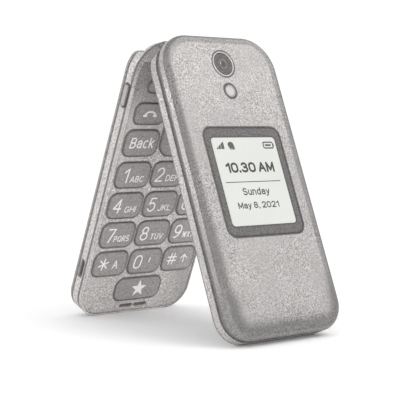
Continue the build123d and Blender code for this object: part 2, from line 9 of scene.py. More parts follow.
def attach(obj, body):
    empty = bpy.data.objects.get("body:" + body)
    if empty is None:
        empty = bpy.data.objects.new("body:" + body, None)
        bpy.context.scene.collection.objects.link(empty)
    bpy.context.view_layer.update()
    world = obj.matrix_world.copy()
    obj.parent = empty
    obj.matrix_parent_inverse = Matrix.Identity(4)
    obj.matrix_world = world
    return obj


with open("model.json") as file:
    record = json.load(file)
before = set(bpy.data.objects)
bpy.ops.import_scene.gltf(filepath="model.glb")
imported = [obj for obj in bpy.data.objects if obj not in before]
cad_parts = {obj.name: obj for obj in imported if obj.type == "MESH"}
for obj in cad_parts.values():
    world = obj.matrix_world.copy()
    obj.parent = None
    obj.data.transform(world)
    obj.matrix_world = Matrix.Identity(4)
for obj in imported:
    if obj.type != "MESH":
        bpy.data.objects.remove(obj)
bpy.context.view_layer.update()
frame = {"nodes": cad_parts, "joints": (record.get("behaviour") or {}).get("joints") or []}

scene = bpy.context.scene
nodes = frame["nodes"]

# ------------------------------------------------------------------ frames of the two halves
HALF = math.radians(22.25)
SA, CA = math.sin(HALF), math.cos(HALF)
HINGE = Vector(next(j["pos_m"] for j in frame["joints"] if j["name"] == "lid_hinge"))
MM = 0.001
# local mm -> world m; local x along the hinge, y up towards it, z out of the outer face / the keypad face
LID = Matrix(((MM, 0, 0, HINGE.x), (0, SA * MM, -CA * MM, HINGE.y), (0, CA * MM, SA * MM, HINGE.z), (0, 0, 0, 1)))
KEY = Matrix(((MM, 0, 0, HINGE.x), (0, -SA * MM, -CA * MM, HINGE.y), (0, CA * MM, -SA * MM, HINGE.z), (0, 0, 0, 1)))
AXES = {"lid": ((1, 0, 0), (0, SA, CA), (0, -CA, SA)), "key": ((1, 0, 0), (0, -SA, CA), (0, -CA, -SA))}


# ------------------------------------------------------------------ small node-graph language
def lin(r, g, b):
    def f(c):
        c /= 255.0
        return c / 12.92 if c <= 0.04045 else ((c + 0.055) / 1.055) ** 2.4
    return (f(r), f(g), f(b), 1.0)


class Val:
    """A float socket or number in one material's node tree, with arithmetic."""

    def __init__(self, net, sock):
        self.net, self.sock = net, sock

    def _m(self, op, *others, clamp=False):
        node = self.net.tree.nodes.new("ShaderNodeMath")
        node.operation = op
        node.use_clamp = clamp
        for i, v in enumerate((self,) + others):
            self.net.put(node.inputs[i], v)
        return Val(self.net, node.outputs[0])

    def __add__(self, o): return self._m("ADD", o)
    def __radd__(self, o): return self._m("ADD", o)
    def __sub__(self, o): return self._m("SUBTRACT", o)
    def __rsub__(self, o): return Val(self.net, self.net.const(o))._m("SUBTRACT", self)
    def __mul__(self, o): return self._m("MULTIPLY", o)
    def __rmul__(self, o): return self._m("MULTIPLY", o)
    def __truediv__(self, o): return self._m("DIVIDE", o)
    def abs(self): return self._m("ABSOLUTE")
    def max(self, o): return self._m("MAXIMUM", o)
    def min(self, o): return self._m("MINIMUM", o)
    def sqrt(self): return self._m("SQRT")
    def gt(self, o): return self._m("GREATER_THAN", o)
    def lt(self, o): return self._m("LESS_THAN", o)
    def mod(self, o): return self._m("FLOORED_MODULO", o)
    def clamp(self): return self._m("ADD", 0.0, clamp=True)

    def ramp(self, a, b, lo=0.0, hi=1.0, smooth=True):
        node = self.net.tree.nodes.new("ShaderNodeMapRange")
        node.interpolation_type = "SMOOTHSTEP" if smooth else "LINEAR"
        self.net.put(node.inputs["Value"], self)
        for name, v in (("From Min", a), ("From Max", b), ("To Min", lo), ("To Max", hi)):
            self.net.put(node.inputs[name], v)
        return Val(self.net, node.outputs["Result"])

    def band(self, centre, half, soft):
        """1 within half of centre, falling to 0 over soft."""
        return (self - centre).abs().ramp(half, half + soft, 1.0, 0.0)


class Net:
    def __init__(self, name, rough=0.5, metallic=0.0, ior=1.5, coat=0.0, coat_rough=0.1, spec=0.5):
        self.mat = bpy.data.materials.new(name)
        self.mat.use_nodes = True
        self.tree = self.mat.node_tree
        self.tree.nodes.clear()
        self.out = self.tree.nodes.new("ShaderNodeOutputMaterial")
        self.bsdf = self.tree.nodes.new("ShaderNodeBsdfPrincipled")
        self.tree.links.new(self.bsdf.outputs[0], self.out.inputs["Surface"])
        b = self.bsdf.inputs
        b["Roughness"].default_value = rough
        b["Metallic"].default_value = metallic
        b["IOR"].default_value = ior
        b["Coat Weight"].default_value = coat
        b["Coat Roughness"].default_value = coat_rough
        b["Specular IOR Level"].default_value = spec
        self._tc = None
        self._local = {}

    def put(self, sock, v):
        if isinstance(v, Val):
            v = v.sock
        if isinstance(v, bpy.types.NodeSocket):
            self.tree.links.new(v, sock)
        else:
            sock.default_value = v

    def const(self, v):
        node = self.tree.nodes.new("ShaderNodeValue")
        node.outputs[0].default_value = v
        return node.outputs[0]

    @property
    def tc(self):
        if self._tc is None:
            self._tc = self.tree.nodes.new("ShaderNodeTexCoord")
        return self._tc

    def local(self, which):
        """x, y, z in millimetres in the lid's or the keypad's own frame, and the normal's three parts."""
        if which in self._local:
            return self._local[which]
        sub = self.tree.nodes.new("ShaderNodeVectorMath")
        sub.operation = "SUBTRACT"
        self.put(sub.inputs[0], self.tc.outputs["Object"])
        sub.inputs[1].default_value = HINGE
        out = []
        for src, k in ((sub.outputs[0], 1000.0), (self.tc.outputs["Normal"], 1.0)):
            for axis in AXES[which]:
                dot = self.tree.nodes.new("ShaderNodeVectorMath")
                dot.operation = "DOT_PRODUCT"
                self.put(dot.inputs[0], src)
                dot.inputs[1].default_value = [c * k for c in axis]
                out.append(Val(self, dot.outputs["Value"]))
        self._local[which] = out
        return out

    def noise(self, size_mm, detail=2.0, rough=0.5, vec=None, stretch=None, distort=0.0):
        """0..1 noise whose features are about size_mm."""
        node = self.tree.nodes.new("ShaderNodeTexNoise")
        node.inputs["Scale"].default_value = 1000.0 / size_mm
        node.inputs["Detail"].default_value = detail
        node.inputs["Roughness"].default_value = rough
        node.inputs["Distortion"].default_value = distort
        src = vec if vec is not None else self.tc.outputs["Object"]
        if stretch is not None:
            mul = self.tree.nodes.new("ShaderNodeVectorMath")
            mul.operation = "MULTIPLY"
            self.put(mul.inputs[0], src)
            mul.inputs[1].default_value = stretch
            src = mul.outputs[0]
        self.put(node.inputs["Vector"], src)
        return Val(self, node.outputs["Fac"])

    def cells(self, size_mm, feature="F1", out="Distance", rand=1.0):
        node = self.tree.nodes.new("ShaderNodeTexVoronoi")
        node.feature = feature
        node.inputs["Scale"].default_value = 1000.0 / size_mm
        node.inputs["Randomness"].default_value = rand
        self.put(node.inputs["Vector"], self.tc.outputs["Object"])
        return node.outputs[out]

    def mix(self, fac, a, b, mode="MIX"):
        node = self.tree.nodes.new("ShaderNodeMix")
        node.data_type = "RGBA"
        node.blend_type = mode
        self.put(node.inputs[0], fac)
        self.put(node.inputs[6], a)
        self.put(node.inputs[7], b)
        return node.outputs[2]

    def shade(self, colour, k):
        """colour times the float k."""
        node = self.tree.nodes.new("ShaderNodeVectorMath")
        node.operation = "SCALE"
        self.put(node.inputs[0], colour if not isinstance(colour, tuple) else self.rgb(colour))
        self.put(node.inputs["Scale"], k)
        return node.outputs[0]

    def rgb(self, c):
        node = self.tree.nodes.new("ShaderNodeRGB")
        node.outputs[0].default_value = c
        return node.outputs[0]

    def ramp(self, fac, stops):
        node = self.tree.nodes.new("ShaderNodeValToRGB")
        els = node.color_ramp.elements
        while len(els) < len(stops):
            els.new(0.5)
        for e, (pos, col) in zip(els, stops):
            e.position = pos
            e.color = col
        self.put(node.inputs[0], fac)
        return node.outputs[0]

    def ao(self, dist_mm, inside=False):
        node = self.tree.nodes.new("ShaderNodeAmbientOcclusion")
        node.samples = 8
        node.inside = inside
        node.only_local = False
        node.inputs["Distance"].default_value = dist_mm * MM
        return Val(self, node.outputs["AO"])

    def bump(self, height, strength=0.2, dist_mm=0.1, normal=None):
        node = self.tree.nodes.new("ShaderNodeBump")
        node.inputs["Strength"].default_value = strength
        node.inputs["Distance"].default_value = dist_mm * MM
        self.put(node.inputs["Height"], height)
        if normal is not None:
            self.put(node.inputs["Normal"], normal)
        return node.outputs[0]

    def set(self, **kw):
        names = {"color": "Base Color", "rough": "Roughness", "normal": "Normal", "metallic": "Metallic", "coat": "Coat Weight",
                 "emit": "Emission Color", "alpha": "Alpha"}
        for k, v in kw.items():
            self.put(self.bsdf.inputs[names[k]], v)
        return self.mat

    def rrect(self, x, y, half_w, y0, y1, r0, r1=None):
        """Distance in mm to a rounded rectangle, negative inside; r1 rounds the end at y1."""
        r1 = r0 if r1 is None else r1
        yc, hh = (y0 + y1) / 2, (y1 - y0) / 2
        if r0 == r1:
            r = r0
        else:
            r = y.gt(yc) * (r1 - r0) + r0
        qx = x.abs() - half_w + r
        qy = (y - yc).abs() - hh + r
        outer = (qx.max(0.0) * qx.max(0.0) + qy.max(0.0) * qy.max(0.0)).sqrt()
        return outer + qx.max(qy).min(0.0) - r

    def circle(self, x, y, cx, cy):
        dx, dy = x - cx, y - cy
        return (dx * dx + dy * dy).sqrt()


def give(node_name, mat):
    o = nodes[node_name]
    o.data.materials.clear()
    o.data.materials.append(mat)
    for p in o.data.polygons:
        p.material_index = 0


# ------------------------------------------------------------------ grained paint, shared by every casing
GREY = lin(160, 157, 156)


def grain(net, tone, amount=1.0, size=0.56):
    """A fine mineral speckle: dark and light grains in a matt binder. Returns colour, roughness and height."""
    coarse = net.noise(size, 2.0, 0.6)
    fine = net.noise(size * 0.42, 1.0, 0.5)
    cloud = net.noise(9.0, 2.0, 0.5)
    mixed = coarse * 0.62 + fine * 0.38
    # the speckle is stronger in some patches than in others
    patch = net.noise(15.0, 3.0, 0.6).ramp(0.36, 0.62, 0.55 * amount, 1.25 * amount)
    k = 1.0 + (mixed.ramp(0.34, 0.66, -0.46, 0.50)) * patch
    k = k * cloud.ramp(0.3, 0.7, 0.965, 1.035)
    tint = net.mix(net.noise(1.4, 1.0).ramp(0.3, 0.7), (1.0, 0.985, 0.975, 1.0), (0.985, 0.995, 1.0, 1.0))
    col = net.mix(1.0, net.shade(tone, k), tint, "MULTIPLY")
    rough = mixed.ramp(0.3, 0.7, 0.52, 0.38)
    return col, rough, mixed


# ---- lid, outer housing
CAM_V, FLASH_V = 8.3, 18.8
WIN_X, WIN_Y0, WIN_Y1 = 18.1, -72.8, -32.8


def mat_lid_outer():
    n = Net("lid_paint", coat=0.0)
    x, y, z, nx, ny, nz = n.local("lid")
    col, rough, h = grain(n, GREY)
    d = n.rrect(x, y, 26.5, -108.0, 3.0, 9.5, 13.0)
    foot = y.ramp(-86.0, -98.0, 0.0, 1.0)
    low = y.ramp(-45.0, -85.0, 0.0, 1.0)
    high = y.ramp(-8.0, 0.0, 0.0, 1.0)
    right = x.ramp(6.0, 16.0, 0.0, 1.0)
    # painted light and shade: the wall is painted lighter, the rolled rim painted darker and fading into the face, more
    # slowly towards the free end
    wall = nz.ramp(0.16, 0.30, 1.0, 0.0)
    left_k = 1.0 - ((d + 1.4 + low * 0.5) / (2.0 + low * 1.05)).ramp(-1.0, 0.15) * 0.56
    right_k = 1.0 - d.ramp(-4.5, -3.5, 0.0, 0.39) - d.ramp(-2.2, -1.8, 0.0, 0.26)
    side_k = left_k * (1.0 - right) + right_k * right
    top_k = 1.0 - d.ramp(-3.6, -3.0, 0.0, 0.34) - d.ramp(-1.5, -1.0, 0.0, 0.34)
    # painted shade: a darker band across the face towards the free end
    foot_shade = Val(n, n.ramp((d + 14.0) / 14.0, [(0.0, (1, 1, 1, 1)), (0.36, (0.95, 0.95, 0.95, 1)), (0.54, (0.86, 0.86, 0.86, 1)),
                                              (0.65, (0.62, 0.62, 0.62, 1)), (0.76, (0.42, 0.42, 0.42, 1)), (0.91, (0.42, 0.42, 0.42, 1)),
                                              (0.96, (0.60, 0.60, 0.60, 1)), (1.0, (0.60, 0.60, 0.60, 1))]))
    k = side_k * (1.0 - high) + top_k * high
    k = k * (1.0 - foot) + foot_shade * foot
    # painted light: the wall is painted lighter, less so towards the free end, and darker towards the hinge
    k = k * (1.0 - wall) + wall * (1.24 - low * 0.40 - foot * 0.24 - y.ramp(-20.0, -8.0, 0.0, 0.44))
    # painted light: the face is lighter towards the hinge end
    k = k * y.ramp(-40.0, -14.0, 1.0, 1.15)
    # the seam to the dark band
    k = k * (1.0 - z.band(5.72, 0.05, 0.14) * 0.45)
    # painted shadow lines round the window, the camera and the flash
    for dist in (n.rrect(x, y, WIN_X, WIN_Y0, WIN_Y1, 3.7), n.circle(x, y, 0.0, -CAM_V) - 4.9, n.circle(x, y, 0.0, -FLASH_V) - 2.7):
        k = k * (1.0 - dist.band(0.15, 0.26, 0.26) * 0.74)
    col = n.shade(col, k)
    return n.set(color=col, rough=rough + wall * 0.02, normal=n.bump(h, 0.35, 0.06))


# ---- plain casings: lid inner housing, base front housing, battery cover
def mat_shell(name, which, tone=GREY, amount=1.0, extra=None):
    n = Net(name)
    x, y, z, nx, ny, nz = n.local(which)
    col, rough, h = grain(n, tone, amount)
    k = Val(n, n.const(1.0))
    if extra:
        k = extra(n, x, y, z, nx, ny, nz, k)
    col = n.shade(col, k)
    return n.set(color=col, rough=rough, normal=n.bump(h, 0.3, 0.06))


def lid_inner_extra(n, x, y, z, nx, ny, nz, k):
    # painted light: the side walls are lighter, less so towards the free end, and fading to the plain tone at the hinge
    # end
    side = nz.abs().ramp(0.35, 0.15, 0.0, 1.0)
    k = k * (1.0 + side * (y.ramp(-50.0, -90.0, 0.26, 0.14) - y.ramp(-22.0, -6.0, 0.0, 0.26)))
    k = k * (1.0 - z.band(3.84, 0.06, 0.14) * 0.45)
    # thin dark line along the inner rim
    k = k * (1.0 - z.band(0.60, 0.28, 0.25) * 0.60 * nz.abs().ramp(0.9, 0.7, 0.0, 1.0))
    lens = n.rrect(x, y, 23.3, -90.6, -14.4, 3.6)
    k = k * (1.0 - lens.band(0.05, 0.1, 0.3) * 0.45)
    return k


def base_front_extra(n, x, y, z, nx, ny, nz, k):
    front = z.ramp(-2.15, -1.95, 0.0, 1.0)
    face = nz.ramp(0.6, 0.9, 0.0, 1.0)
    side = nz.abs().ramp(0.45, 0.25, 0.0, 1.0)
    # painted light: the wall, the front's sides and most of all the keypad face are painted lighter, the face less so
    # towards the free end
    k = k * (1.0 + side * (1.0 - front) * 0.36)
    k = k * (1.0 + face * y.ramp(-84.0, -98.0, 0.72, 0.60))
    k = k * (1.0 + side * front * 0.16)
    # dark parting line between the front and the wall, and the seam to the battery cover
    k = k * (1.0 - z.band(-2.34, 0.42, 0.26) * 0.70 * side)
    k = k * (1.0 - z.band(-6.26, 0.24, 0.26) * 0.66 * side)
    # painted shade in the gap round the volume rocker
    gap = n.rrect(y + ROCKER_V, z, 4.45, ROCKER_Z - 1.5, ROCKER_Z + 1.5, 1.3)
    k = k * (1.0 - gap.band(0.10, 0.22, 0.25) * 0.62 * side * x.lt(0.0))
    # painted shade along the small step between the raised rim and the keypad face
    d = n.rrect(x, y, 25.6, -107.1, 2.3, 8.6, 12.1)
    k = k * (1.0 - d.band(0.0, 0.10, 0.20) * 0.22 * z.gt(-0.9))
    # painted shade: the face is darker towards the hinge
    k = k * (1.0 - face * y.ramp(-30.0, -10.0, 0.0, 0.50))
    # painted shade: the rim and the knuckles at the hinge end are darkened as well
    k = k * (1.0 - (1.0 - face) * front * y.ramp(-18.0, -6.0, 0.0, 0.44))
    k = k * (1.0 - y.ramp(-6.0, -1.0, 0.0, 0.20) * z.gt(-6.4) * x.abs().ramp(25.8, 24.8, 0.0, 1.0))
    # painted shade: the face is darker towards its right-hand side near the free end
    k = k * (1.0 - face * x.ramp(8.0, 24.0, 0.0, 0.36) * y.ramp(-78.0, -94.0, 0.0, 1.0))
    # painted shadow: a thin dark line on the face round each key hole
    for kx, ky, kw, kh, kr in KEY_BOXES:
        dist = n.rrect(x - kx, y, kw / 2 + 0.2, ky - kh / 2 - 0.2, ky + kh / 2 + 0.2, kr + 0.2)
        k = k * (1.0 - dist.band(0.06, 0.12, 0.30) * 0.50 * face)
    return k


def cover_extra(n, x, y, z, nx, ny, nz, k):
    # painted shade: the sides are darker
    side = nz.abs().ramp(0.75, 0.4, 0.0, 1.0)
    k = k * (1.0 - side * 0.27)
    k = k * (1.0 - z.band(-6.55, 0.10, 0.20) * 0.45)
    # painted shade: the back face is darker towards its rim
    d = n.rrect(x, y, 26.5, -108.0, -2.3, 9.5, 3.2)
    k = k * (1.0 - d.ramp(-4.5, -2.0, 0.0, 0.16) * nz.ramp(-0.6, -0.95, 0.0, 1.0))
    return k


ROCKER_V, ROCKER_Z = 18.4, -4.1
COL = 16.7
KEY_W, KEY_H, KEY_R = 15.6, 10.4, 3.2
ROWS = {"back": -35.6, "1": -48.5, "4": -61.0, "7": -73.3, "star": -85.55}
KEYS = {}
for label, c, row in (("key_1", -1, "1"), ("key_2", 0, "1"), ("key_3", 1, "1"), ("key_4", -1, "4"), ("key_5", 0, "4"), ("key_6", 1, "4"),
                      ("key_7", -1, "7"), ("key_8", 0, "7"), ("key_9", 1, "7"), ("key_asterisk", -1, "star"), ("key_0", 0, "star"),
                      ("key_hash", 1, "star"), ("key_back", -1, "back"), ("key_menu", 1, "back")):
    KEYS[label] = (c * COL, ROWS[row], KEY_W, KEY_H, KEY_R)
KEYS["key_call"] = (-16.0, -24.0, 14.2, 8.2, 2.8)
KEYS["key_end"] = (16.0, -24.0, 14.2, 8.2, 2.8)
KEYS["key_soft_left"] = (-14.2, -13.4, 11.4, 4.8, 2.2)
KEYS["key_soft_right"] = (14.2, -13.4, 11.4, 4.8, 2.2)
KEYS["key_star"] = (0.0, -97.5, 22.0, 9.7, 3.4)
NAV = (0.0, -30.1, 15.4, 21.6, 5.4)
SEL = (0.0, -30.1, 8.4, 9.0, 3.4)
KEY_TOP = -0.3
KEY_BOXES = list(KEYS.values()) + [NAV]


def mat_key(name, box, hole=None, tone=None):
    """Moulded key: warm dark grey, with painted shade round its edge and round a hole in it, and a faint moulding
    grain.
    """
    n = Net(name, rough=0.45)
    x, y, z, nx, ny, nz = n.local("key")
    kx, ky, kw, kh, kr = box
    tone = tone or lin(160, 155, 155)
    coarse = n.noise(0.6, 2.0, 0.6)
    fine = n.noise(0.26, 1.0, 0.5)
    h = coarse * 0.6 + fine * 0.4
    k = h.ramp(0.34, 0.66, 0.66, 1.34)
    d = n.rrect(x - kx, y, kw / 2, ky - kh / 2, ky + kh / 2, kr)
    k = k * d.ramp(-0.75, -0.15, 1.0, 0.50)
    if hole:
        hx, hy, hw, hh, hr = hole
        dh = n.rrect(x - hx, y, hw / 2 + 0.2, hy - hh / 2 - 0.2, hy + hh / 2 + 0.2, hr + 0.2)
        k = k * dh.ramp(1.0, 0.1, 1.0, 0.66)
    col = n.shade(tone, k)
    return n.set(color=col, rough=h.ramp(0.3, 0.7, 0.50, 0.40), normal=n.bump(h, 0.2, 0.05))


# ---- dark band, trim and inner plastics
def mat_plain(name, tone, rough=0.5, size=0.6, amount=0.12, metallic=0.0, coat=0.0, bump=0.15, stretch=None):
    n = Net(name, metallic=metallic, coat=coat)
    h = n.noise(size, 3.0, 0.6, stretch=stretch)
    cloud = n.noise(size * 14, 2.0)
    k = h.ramp(0.3, 0.7, 1.0 - amount, 1.0 + amount) * cloud.ramp(0.3, 0.7, 0.96, 1.04)
    col = n.shade(tone, k)
    return n.set(color=col, rough=h.ramp(0.3, 0.7, rough + 0.06, rough - 0.06), normal=n.bump(h, bump, 0.05))


def mat_window():
    """Smoked window of the outer display: printed dark border with a fine grain, polished."""
    n = Net("outer_window_smoke", coat=0.35, coat_rough=0.12)
    x, y, z, nx, ny, nz = n.local("lid")
    tone = lin(89, 85, 85)
    h = n.noise(0.55, 2.0, 0.6)
    # painted shade towards the window's outer edge and along the edge of the screen
    d = n.rrect(x, y, WIN_X - 0.1, WIN_Y0 + 0.1, WIN_Y1 - 0.1, 3.6)
    k = h.ramp(0.34, 0.66, 0.56, 1.44) * d.ramp(-0.8, -0.05, 1.0, 0.62)
    inner = n.rrect(x, y, 15.2, -69.2, -36.4, 1.5)
    k = k * (1.0 - inner.band(0.15, 0.15, 0.3) * 0.35)
    return n.set(color=n.shade(tone, k), rough=h.ramp(0.3, 0.7, 0.36, 0.28), normal=n.bump(h, 0.06, 0.03))


def mat_main_window():
    """Inner display: glossy black window, the sleeping panel a touch lighter than its printed border."""
    n = Net("main_window_gloss", coat=0.6, coat_rough=0.05)
    x, y, z, nx, ny, nz = n.local("lid")
    d = n.rrect(x, y, 21.2, -80.9, -23.1, 0.5)
    active = d.ramp(-0.15, 0.0, 1.0, 0.0)
    fine = ((x / 0.25).mod(1.0) - 0.5).abs() * ((y / 0.25).mod(1.0) - 0.5).abs()
    tone = n.mix(active, lin(26, 25, 26), n.mix(fine.ramp(0.0, 0.25), lin(52, 54, 58), lin(60, 62, 66)))
    h = n.noise(14.0, 1.0)
    col = n.shade(tone, h.ramp(0.3, 0.7, 0.92, 1.08))
    return n.set(color=col, rough=h.ramp(0.2, 0.8, 0.14, 0.10))


def mat_screen():
    """Lit reflective screen: near white with a very fine pixel pitch."""
    n = Net("screen_paper", coat=0.35, coat_rough=0.12)
    x, y, z, nx, ny, nz = n.local("lid")
    gx = ((x / 0.2).mod(1.0) - 0.5).abs()
    gy = ((y / 0.2).mod(1.0) - 0.5).abs()
    grid = gx.max(gy).ramp(0.40, 0.5, 1.0, 0.94)
    cloud = n.noise(12.0, 1.0)
    # painted shade: slightly darker just inside the edge
    d = n.rrect(x, y, 15.0, -69.0, -36.6, 1.4)
    k = grid * cloud.ramp(0.3, 0.7, 0.985, 1.015) * d.ramp(-0.5, 0.0, 1.0, 0.93)
    return n.set(color=n.shade(lin(200, 202, 197), k), rough=cloud.ramp(0.2, 0.8, 0.36, 0.32))


def mat_ink(name, tone):
    n = Net(name, rough=0.5)
    h = n.noise(0.35, 2.0)
    return n.set(color=n.shade(tone, h.ramp(0.3, 0.7, 0.92, 1.08)), rough=h.ramp(0.3, 0.7, 0.55, 0.45))


def mat_camera_glass():
    """Camera window: dark printed annulus round a slightly lighter lens cone."""
    n = Net("camera_glass_dark", coat=0.5, coat_rough=0.08)
    x, y, z, nx, ny, nz = n.local("lid")
    r = n.circle(x, y, 0.0, -CAM_V)
    h = n.noise(0.6, 2.0, 0.6)
    tone = n.ramp(r / 4.3, [(0.0, lin(92, 88, 88)), (0.36, lin(88, 84, 84)), (0.42, lin(104, 99, 99)), (0.60, lin(96, 91, 91)),
                            (0.66, lin(80, 76, 76)), (0.86, lin(84, 80, 80)), (0.95, lin(66, 62, 62)), (1.0, lin(56, 52, 52))])
    return n.set(color=n.shade(tone, h.ramp(0.34, 0.66, 0.60, 1.40)), rough=h.ramp(0.3, 0.7, 0.30, 0.20))


def mat_flash():
    """Flash lens: pale, with the ring pattern of a Fresnel lens."""
    n = Net("flash_lens_pale", coat=0.4, coat_rough=0.1)
    x, y, z, nx, ny, nz = n.local("lid")
    r = n.circle(x, y, 0.0, -FLASH_V)
    ring = ((r / 0.32).mod(1.0) - 0.5).abs() * 2.0
    k = ring.ramp(0.0, 1.0, 0.86, 1.04) * r.ramp(1.4, 2.0, 1.0, 0.80)
    h = n.noise(0.5, 2.0)
    return n.set(color=n.shade(lin(192, 188, 187), k * h.ramp(0.3, 0.7, 0.92, 1.06)), rough=h.ramp(0.3, 0.7, 0.34, 0.26),
                 normal=n.bump(ring, 0.3, 0.08))


def mat_flash_ring():
    """Flash surround: a dark satin rim with a paler inner lip next to the lens."""
    n = Net("flash_ring_satin")
    x, y, z, nx, ny, nz = n.local("lid")
    r = n.circle(x, y, 0.0, -FLASH_V)
    h = n.noise(0.5, 2.0)
    tone = n.mix(r.ramp(2.20, 2.34, 0.0, 1.0), lin(176, 172, 171), lin(88, 84, 84))
    return n.set(color=n.shade(tone, h.ramp(0.3, 0.7, 0.90, 1.10)), rough=h.ramp(0.3, 0.7, 0.46, 0.36), normal=n.bump(h, 0.1, 0.04))


def mat_mesh():
    n = Net("grille_mesh", metallic=0.6)
    x, y, z, nx, ny, nz = n.local("lid")
    hx = ((x / 0.5).mod(1.0) - 0.5)
    hy = ((y / 0.5).mod(1.0) - 0.5)
    r = (hx * hx + hy * hy).sqrt()
    k = r.ramp(0.22, 0.30, 0.12, 1.0)
    return n.set(color=n.shade(lin(96, 94, 94), k), rough=r.ramp(0.2, 0.3, 0.7, 0.42))


def mat_board(name, tone=lin(28, 84, 52)):
    n = Net(name, coat=0.3, coat_rough=0.2)
    which = "key" if name.startswith("main") else "lid"
    x, y, z, nx, ny, nz = n.local(which)
    tx = ((x / 0.9).mod(1.0) - 0.5).abs()
    ty = ((y / 1.3).mod(1.0) - 0.5).abs()
    maze = n.noise(5.0, 0.0)
    trace = maze.gt(0.5) * tx.ramp(0.36, 0.42, 0.0, 1.0) + maze.lt(0.5) * ty.ramp(0.36, 0.42, 0.0, 1.0)
    col = n.mix(trace, tone, lin(60, 128, 84))
    pad = n.cells(1.6)
    col = n.mix(Val(n, pad).lt(0.11), col, lin(206, 176, 104))
    return n.set(color=col, rough=maze.ramp(0.2, 0.8, 0.34, 0.26), normal=n.bump(trace, 0.2, 0.05))


def mat_metal(name, tone, rough=0.3, size=0.3, stretch=(1.0, 12.0, 12.0), amount=0.08):
    n = Net(name, metallic=1.0)
    h = n.noise(size * 8, 3.0, 0.7, stretch=stretch)
    fine = n.noise(size, 2.0)
    k = h.ramp(0.3, 0.7, 1.0 - amount, 1.0 + amount)
    return n.set(color=n.shade(tone, k), rough=h.ramp(0.3, 0.7, rough + 0.08, rough - 0.06), normal=n.bump(fine, 0.08, 0.03))


def mat_battery():
    n = Net("battery_wrap")
    x, y, z, nx, ny, nz = n.local("key")
    h = n.noise(0.8, 3.0)
    panel = n.rrect(x, y, 19.0, -72.0, -30.0, 2.0)
    tone = n.mix(panel.ramp(-0.1, 0.1, 1.0, 0.0), lin(72, 72, 76), lin(96, 96, 100))
    return n.set(color=n.shade(tone, h.ramp(0.3, 0.7, 0.94, 1.06)), rough=h.ramp(0.3, 0.7, 0.46, 0.36), normal=n.bump(h, 0.1, 0.05))


# ------------------------------------------------------------------ finishes on the CAD nodes
give("lid_outer_housing", mat_lid_outer())
give("lid_inner_housing", mat_shell("lid_inner_paint", "lid", extra=lid_inner_extra))
give("base_front_housing", mat_shell("base_front_paint", "key", extra=base_front_extra))
give("battery_cover", mat_shell("battery_cover_paint", "key", extra=cover_extra))


def rocker_extra(n, x, y, z, nx, ny, nz, k):
    # painted shade towards the rocker's edge
    d = n.rrect(y * 1.0 + ROCKER_V, z, 4.2, ROCKER_Z - 1.25, ROCKER_Z + 1.25, 1.05)
    return k * d.ramp(-0.55, -0.05, 1.0, 0.45)


give("volume_rocker", mat_shell("volume_rocker_paint", "key", tone=lin(164, 160, 159), amount=0.8, extra=rocker_extra))
DARK = mat_plain("dark_band", lin(127, 123, 123), rough=0.55, amount=0.14)
give("lid_mid_frame", DARK)
give("base_rear_housing", mat_plain("rear_tray", lin(66, 64, 64), rough=0.55))
give("outer_display_holder", mat_plain("display_holder", lin(44, 43, 43), rough=0.6))
for label, box in KEYS.items():
    give(label, mat_key(label + "_plastic", box, tone=lin(168, 163, 162) if "soft" in label else None))
give("nav_ring", mat_key("nav_ring_plastic", NAV, hole=SEL))
give("key_select", mat_key("key_select_plastic", SEL))
give("outer_window", mat_window())
give("main_window", mat_main_window())
give("outer_display_panel", mat_plain("outer_panel_glass", lin(150, 152, 148), rough=0.2, amount=0.04))
give("main_display_panel", mat_plain("main_panel_glass", lin(40, 41, 44), rough=0.15, amount=0.05))
give("camera_glass", mat_camera_glass())
give("flash_lens", mat_flash())
give("camera_ring", mat_plain("camera_ring_satin", lin(196, 192, 191), rough=0.34, metallic=0.2, amount=0.08))
give("flash_ring", mat_flash_ring())
give("camera_module", mat_plain("camera_module_black", lin(30, 30, 31), rough=0.4))
give("earpiece", mat_plain("earpiece_black", lin(38, 38, 39), rough=0.5))
give("loudspeaker", mat_plain("loudspeaker_black", lin(38, 38, 39), rough=0.5))
give("microphone", mat_plain("microphone_felt", lin(118, 114, 114), rough=0.6))
give("vibration_motor", mat_metal("motor_steel", lin(170, 170, 172), rough=0.32))
give("earpiece_mesh", mat_mesh())
give("lid_board", mat_board("lid_board_mask"))
give("main_board", mat_board("main_board_mask"))
give("lid_magnet", mat_metal("magnet_nickel", lin(190, 190, 192), rough=0.22))
give("lid_screws", mat_metal("lid_screw_steel", lin(120, 120, 124), rough=0.35))
give("base_screws", mat_metal("base_screw_steel", lin(120, 120, 124), rough=0.35))
give("shield_cans", mat_metal("shield_can_tin", lin(196, 198, 200), rough=0.3))
give("charging_socket", mat_plain("socket_steel", lin(150, 147, 146), rough=0.4, metallic=0.2, amount=0.06))
give("dome_sheet", mat_metal("dome_steel", lin(200, 200, 202), rough=0.3))
give("hinge_cartridge", mat_metal("cartridge_steel", lin(160, 160, 163), rough=0.3))
give("hinge_cam_shaft", mat_metal("shaft_steel", lin(130, 129, 130), rough=0.3))
give("hinge_pivot_bush", mat_metal("bush_steel", lin(120, 118, 118), rough=0.4))
give("antenna", mat_metal("antenna_brass", lin(206, 180, 120), rough=0.4))
give("battery_contacts", mat_metal("contact_gold", lin(220, 186, 104), rough=0.26))
give("hinge_flex", mat_plain("flex_polyimide", lin(156, 96, 40), rough=0.3, amount=0.08))
give("keypad_mat", mat_plain("keypad_silicone", lin(92, 90, 90), rough=0.7))
give("lid_bumpers", mat_plain("bumper_rubber", lin(70, 68, 68), rough=0.72))
give("battery", mat_battery())


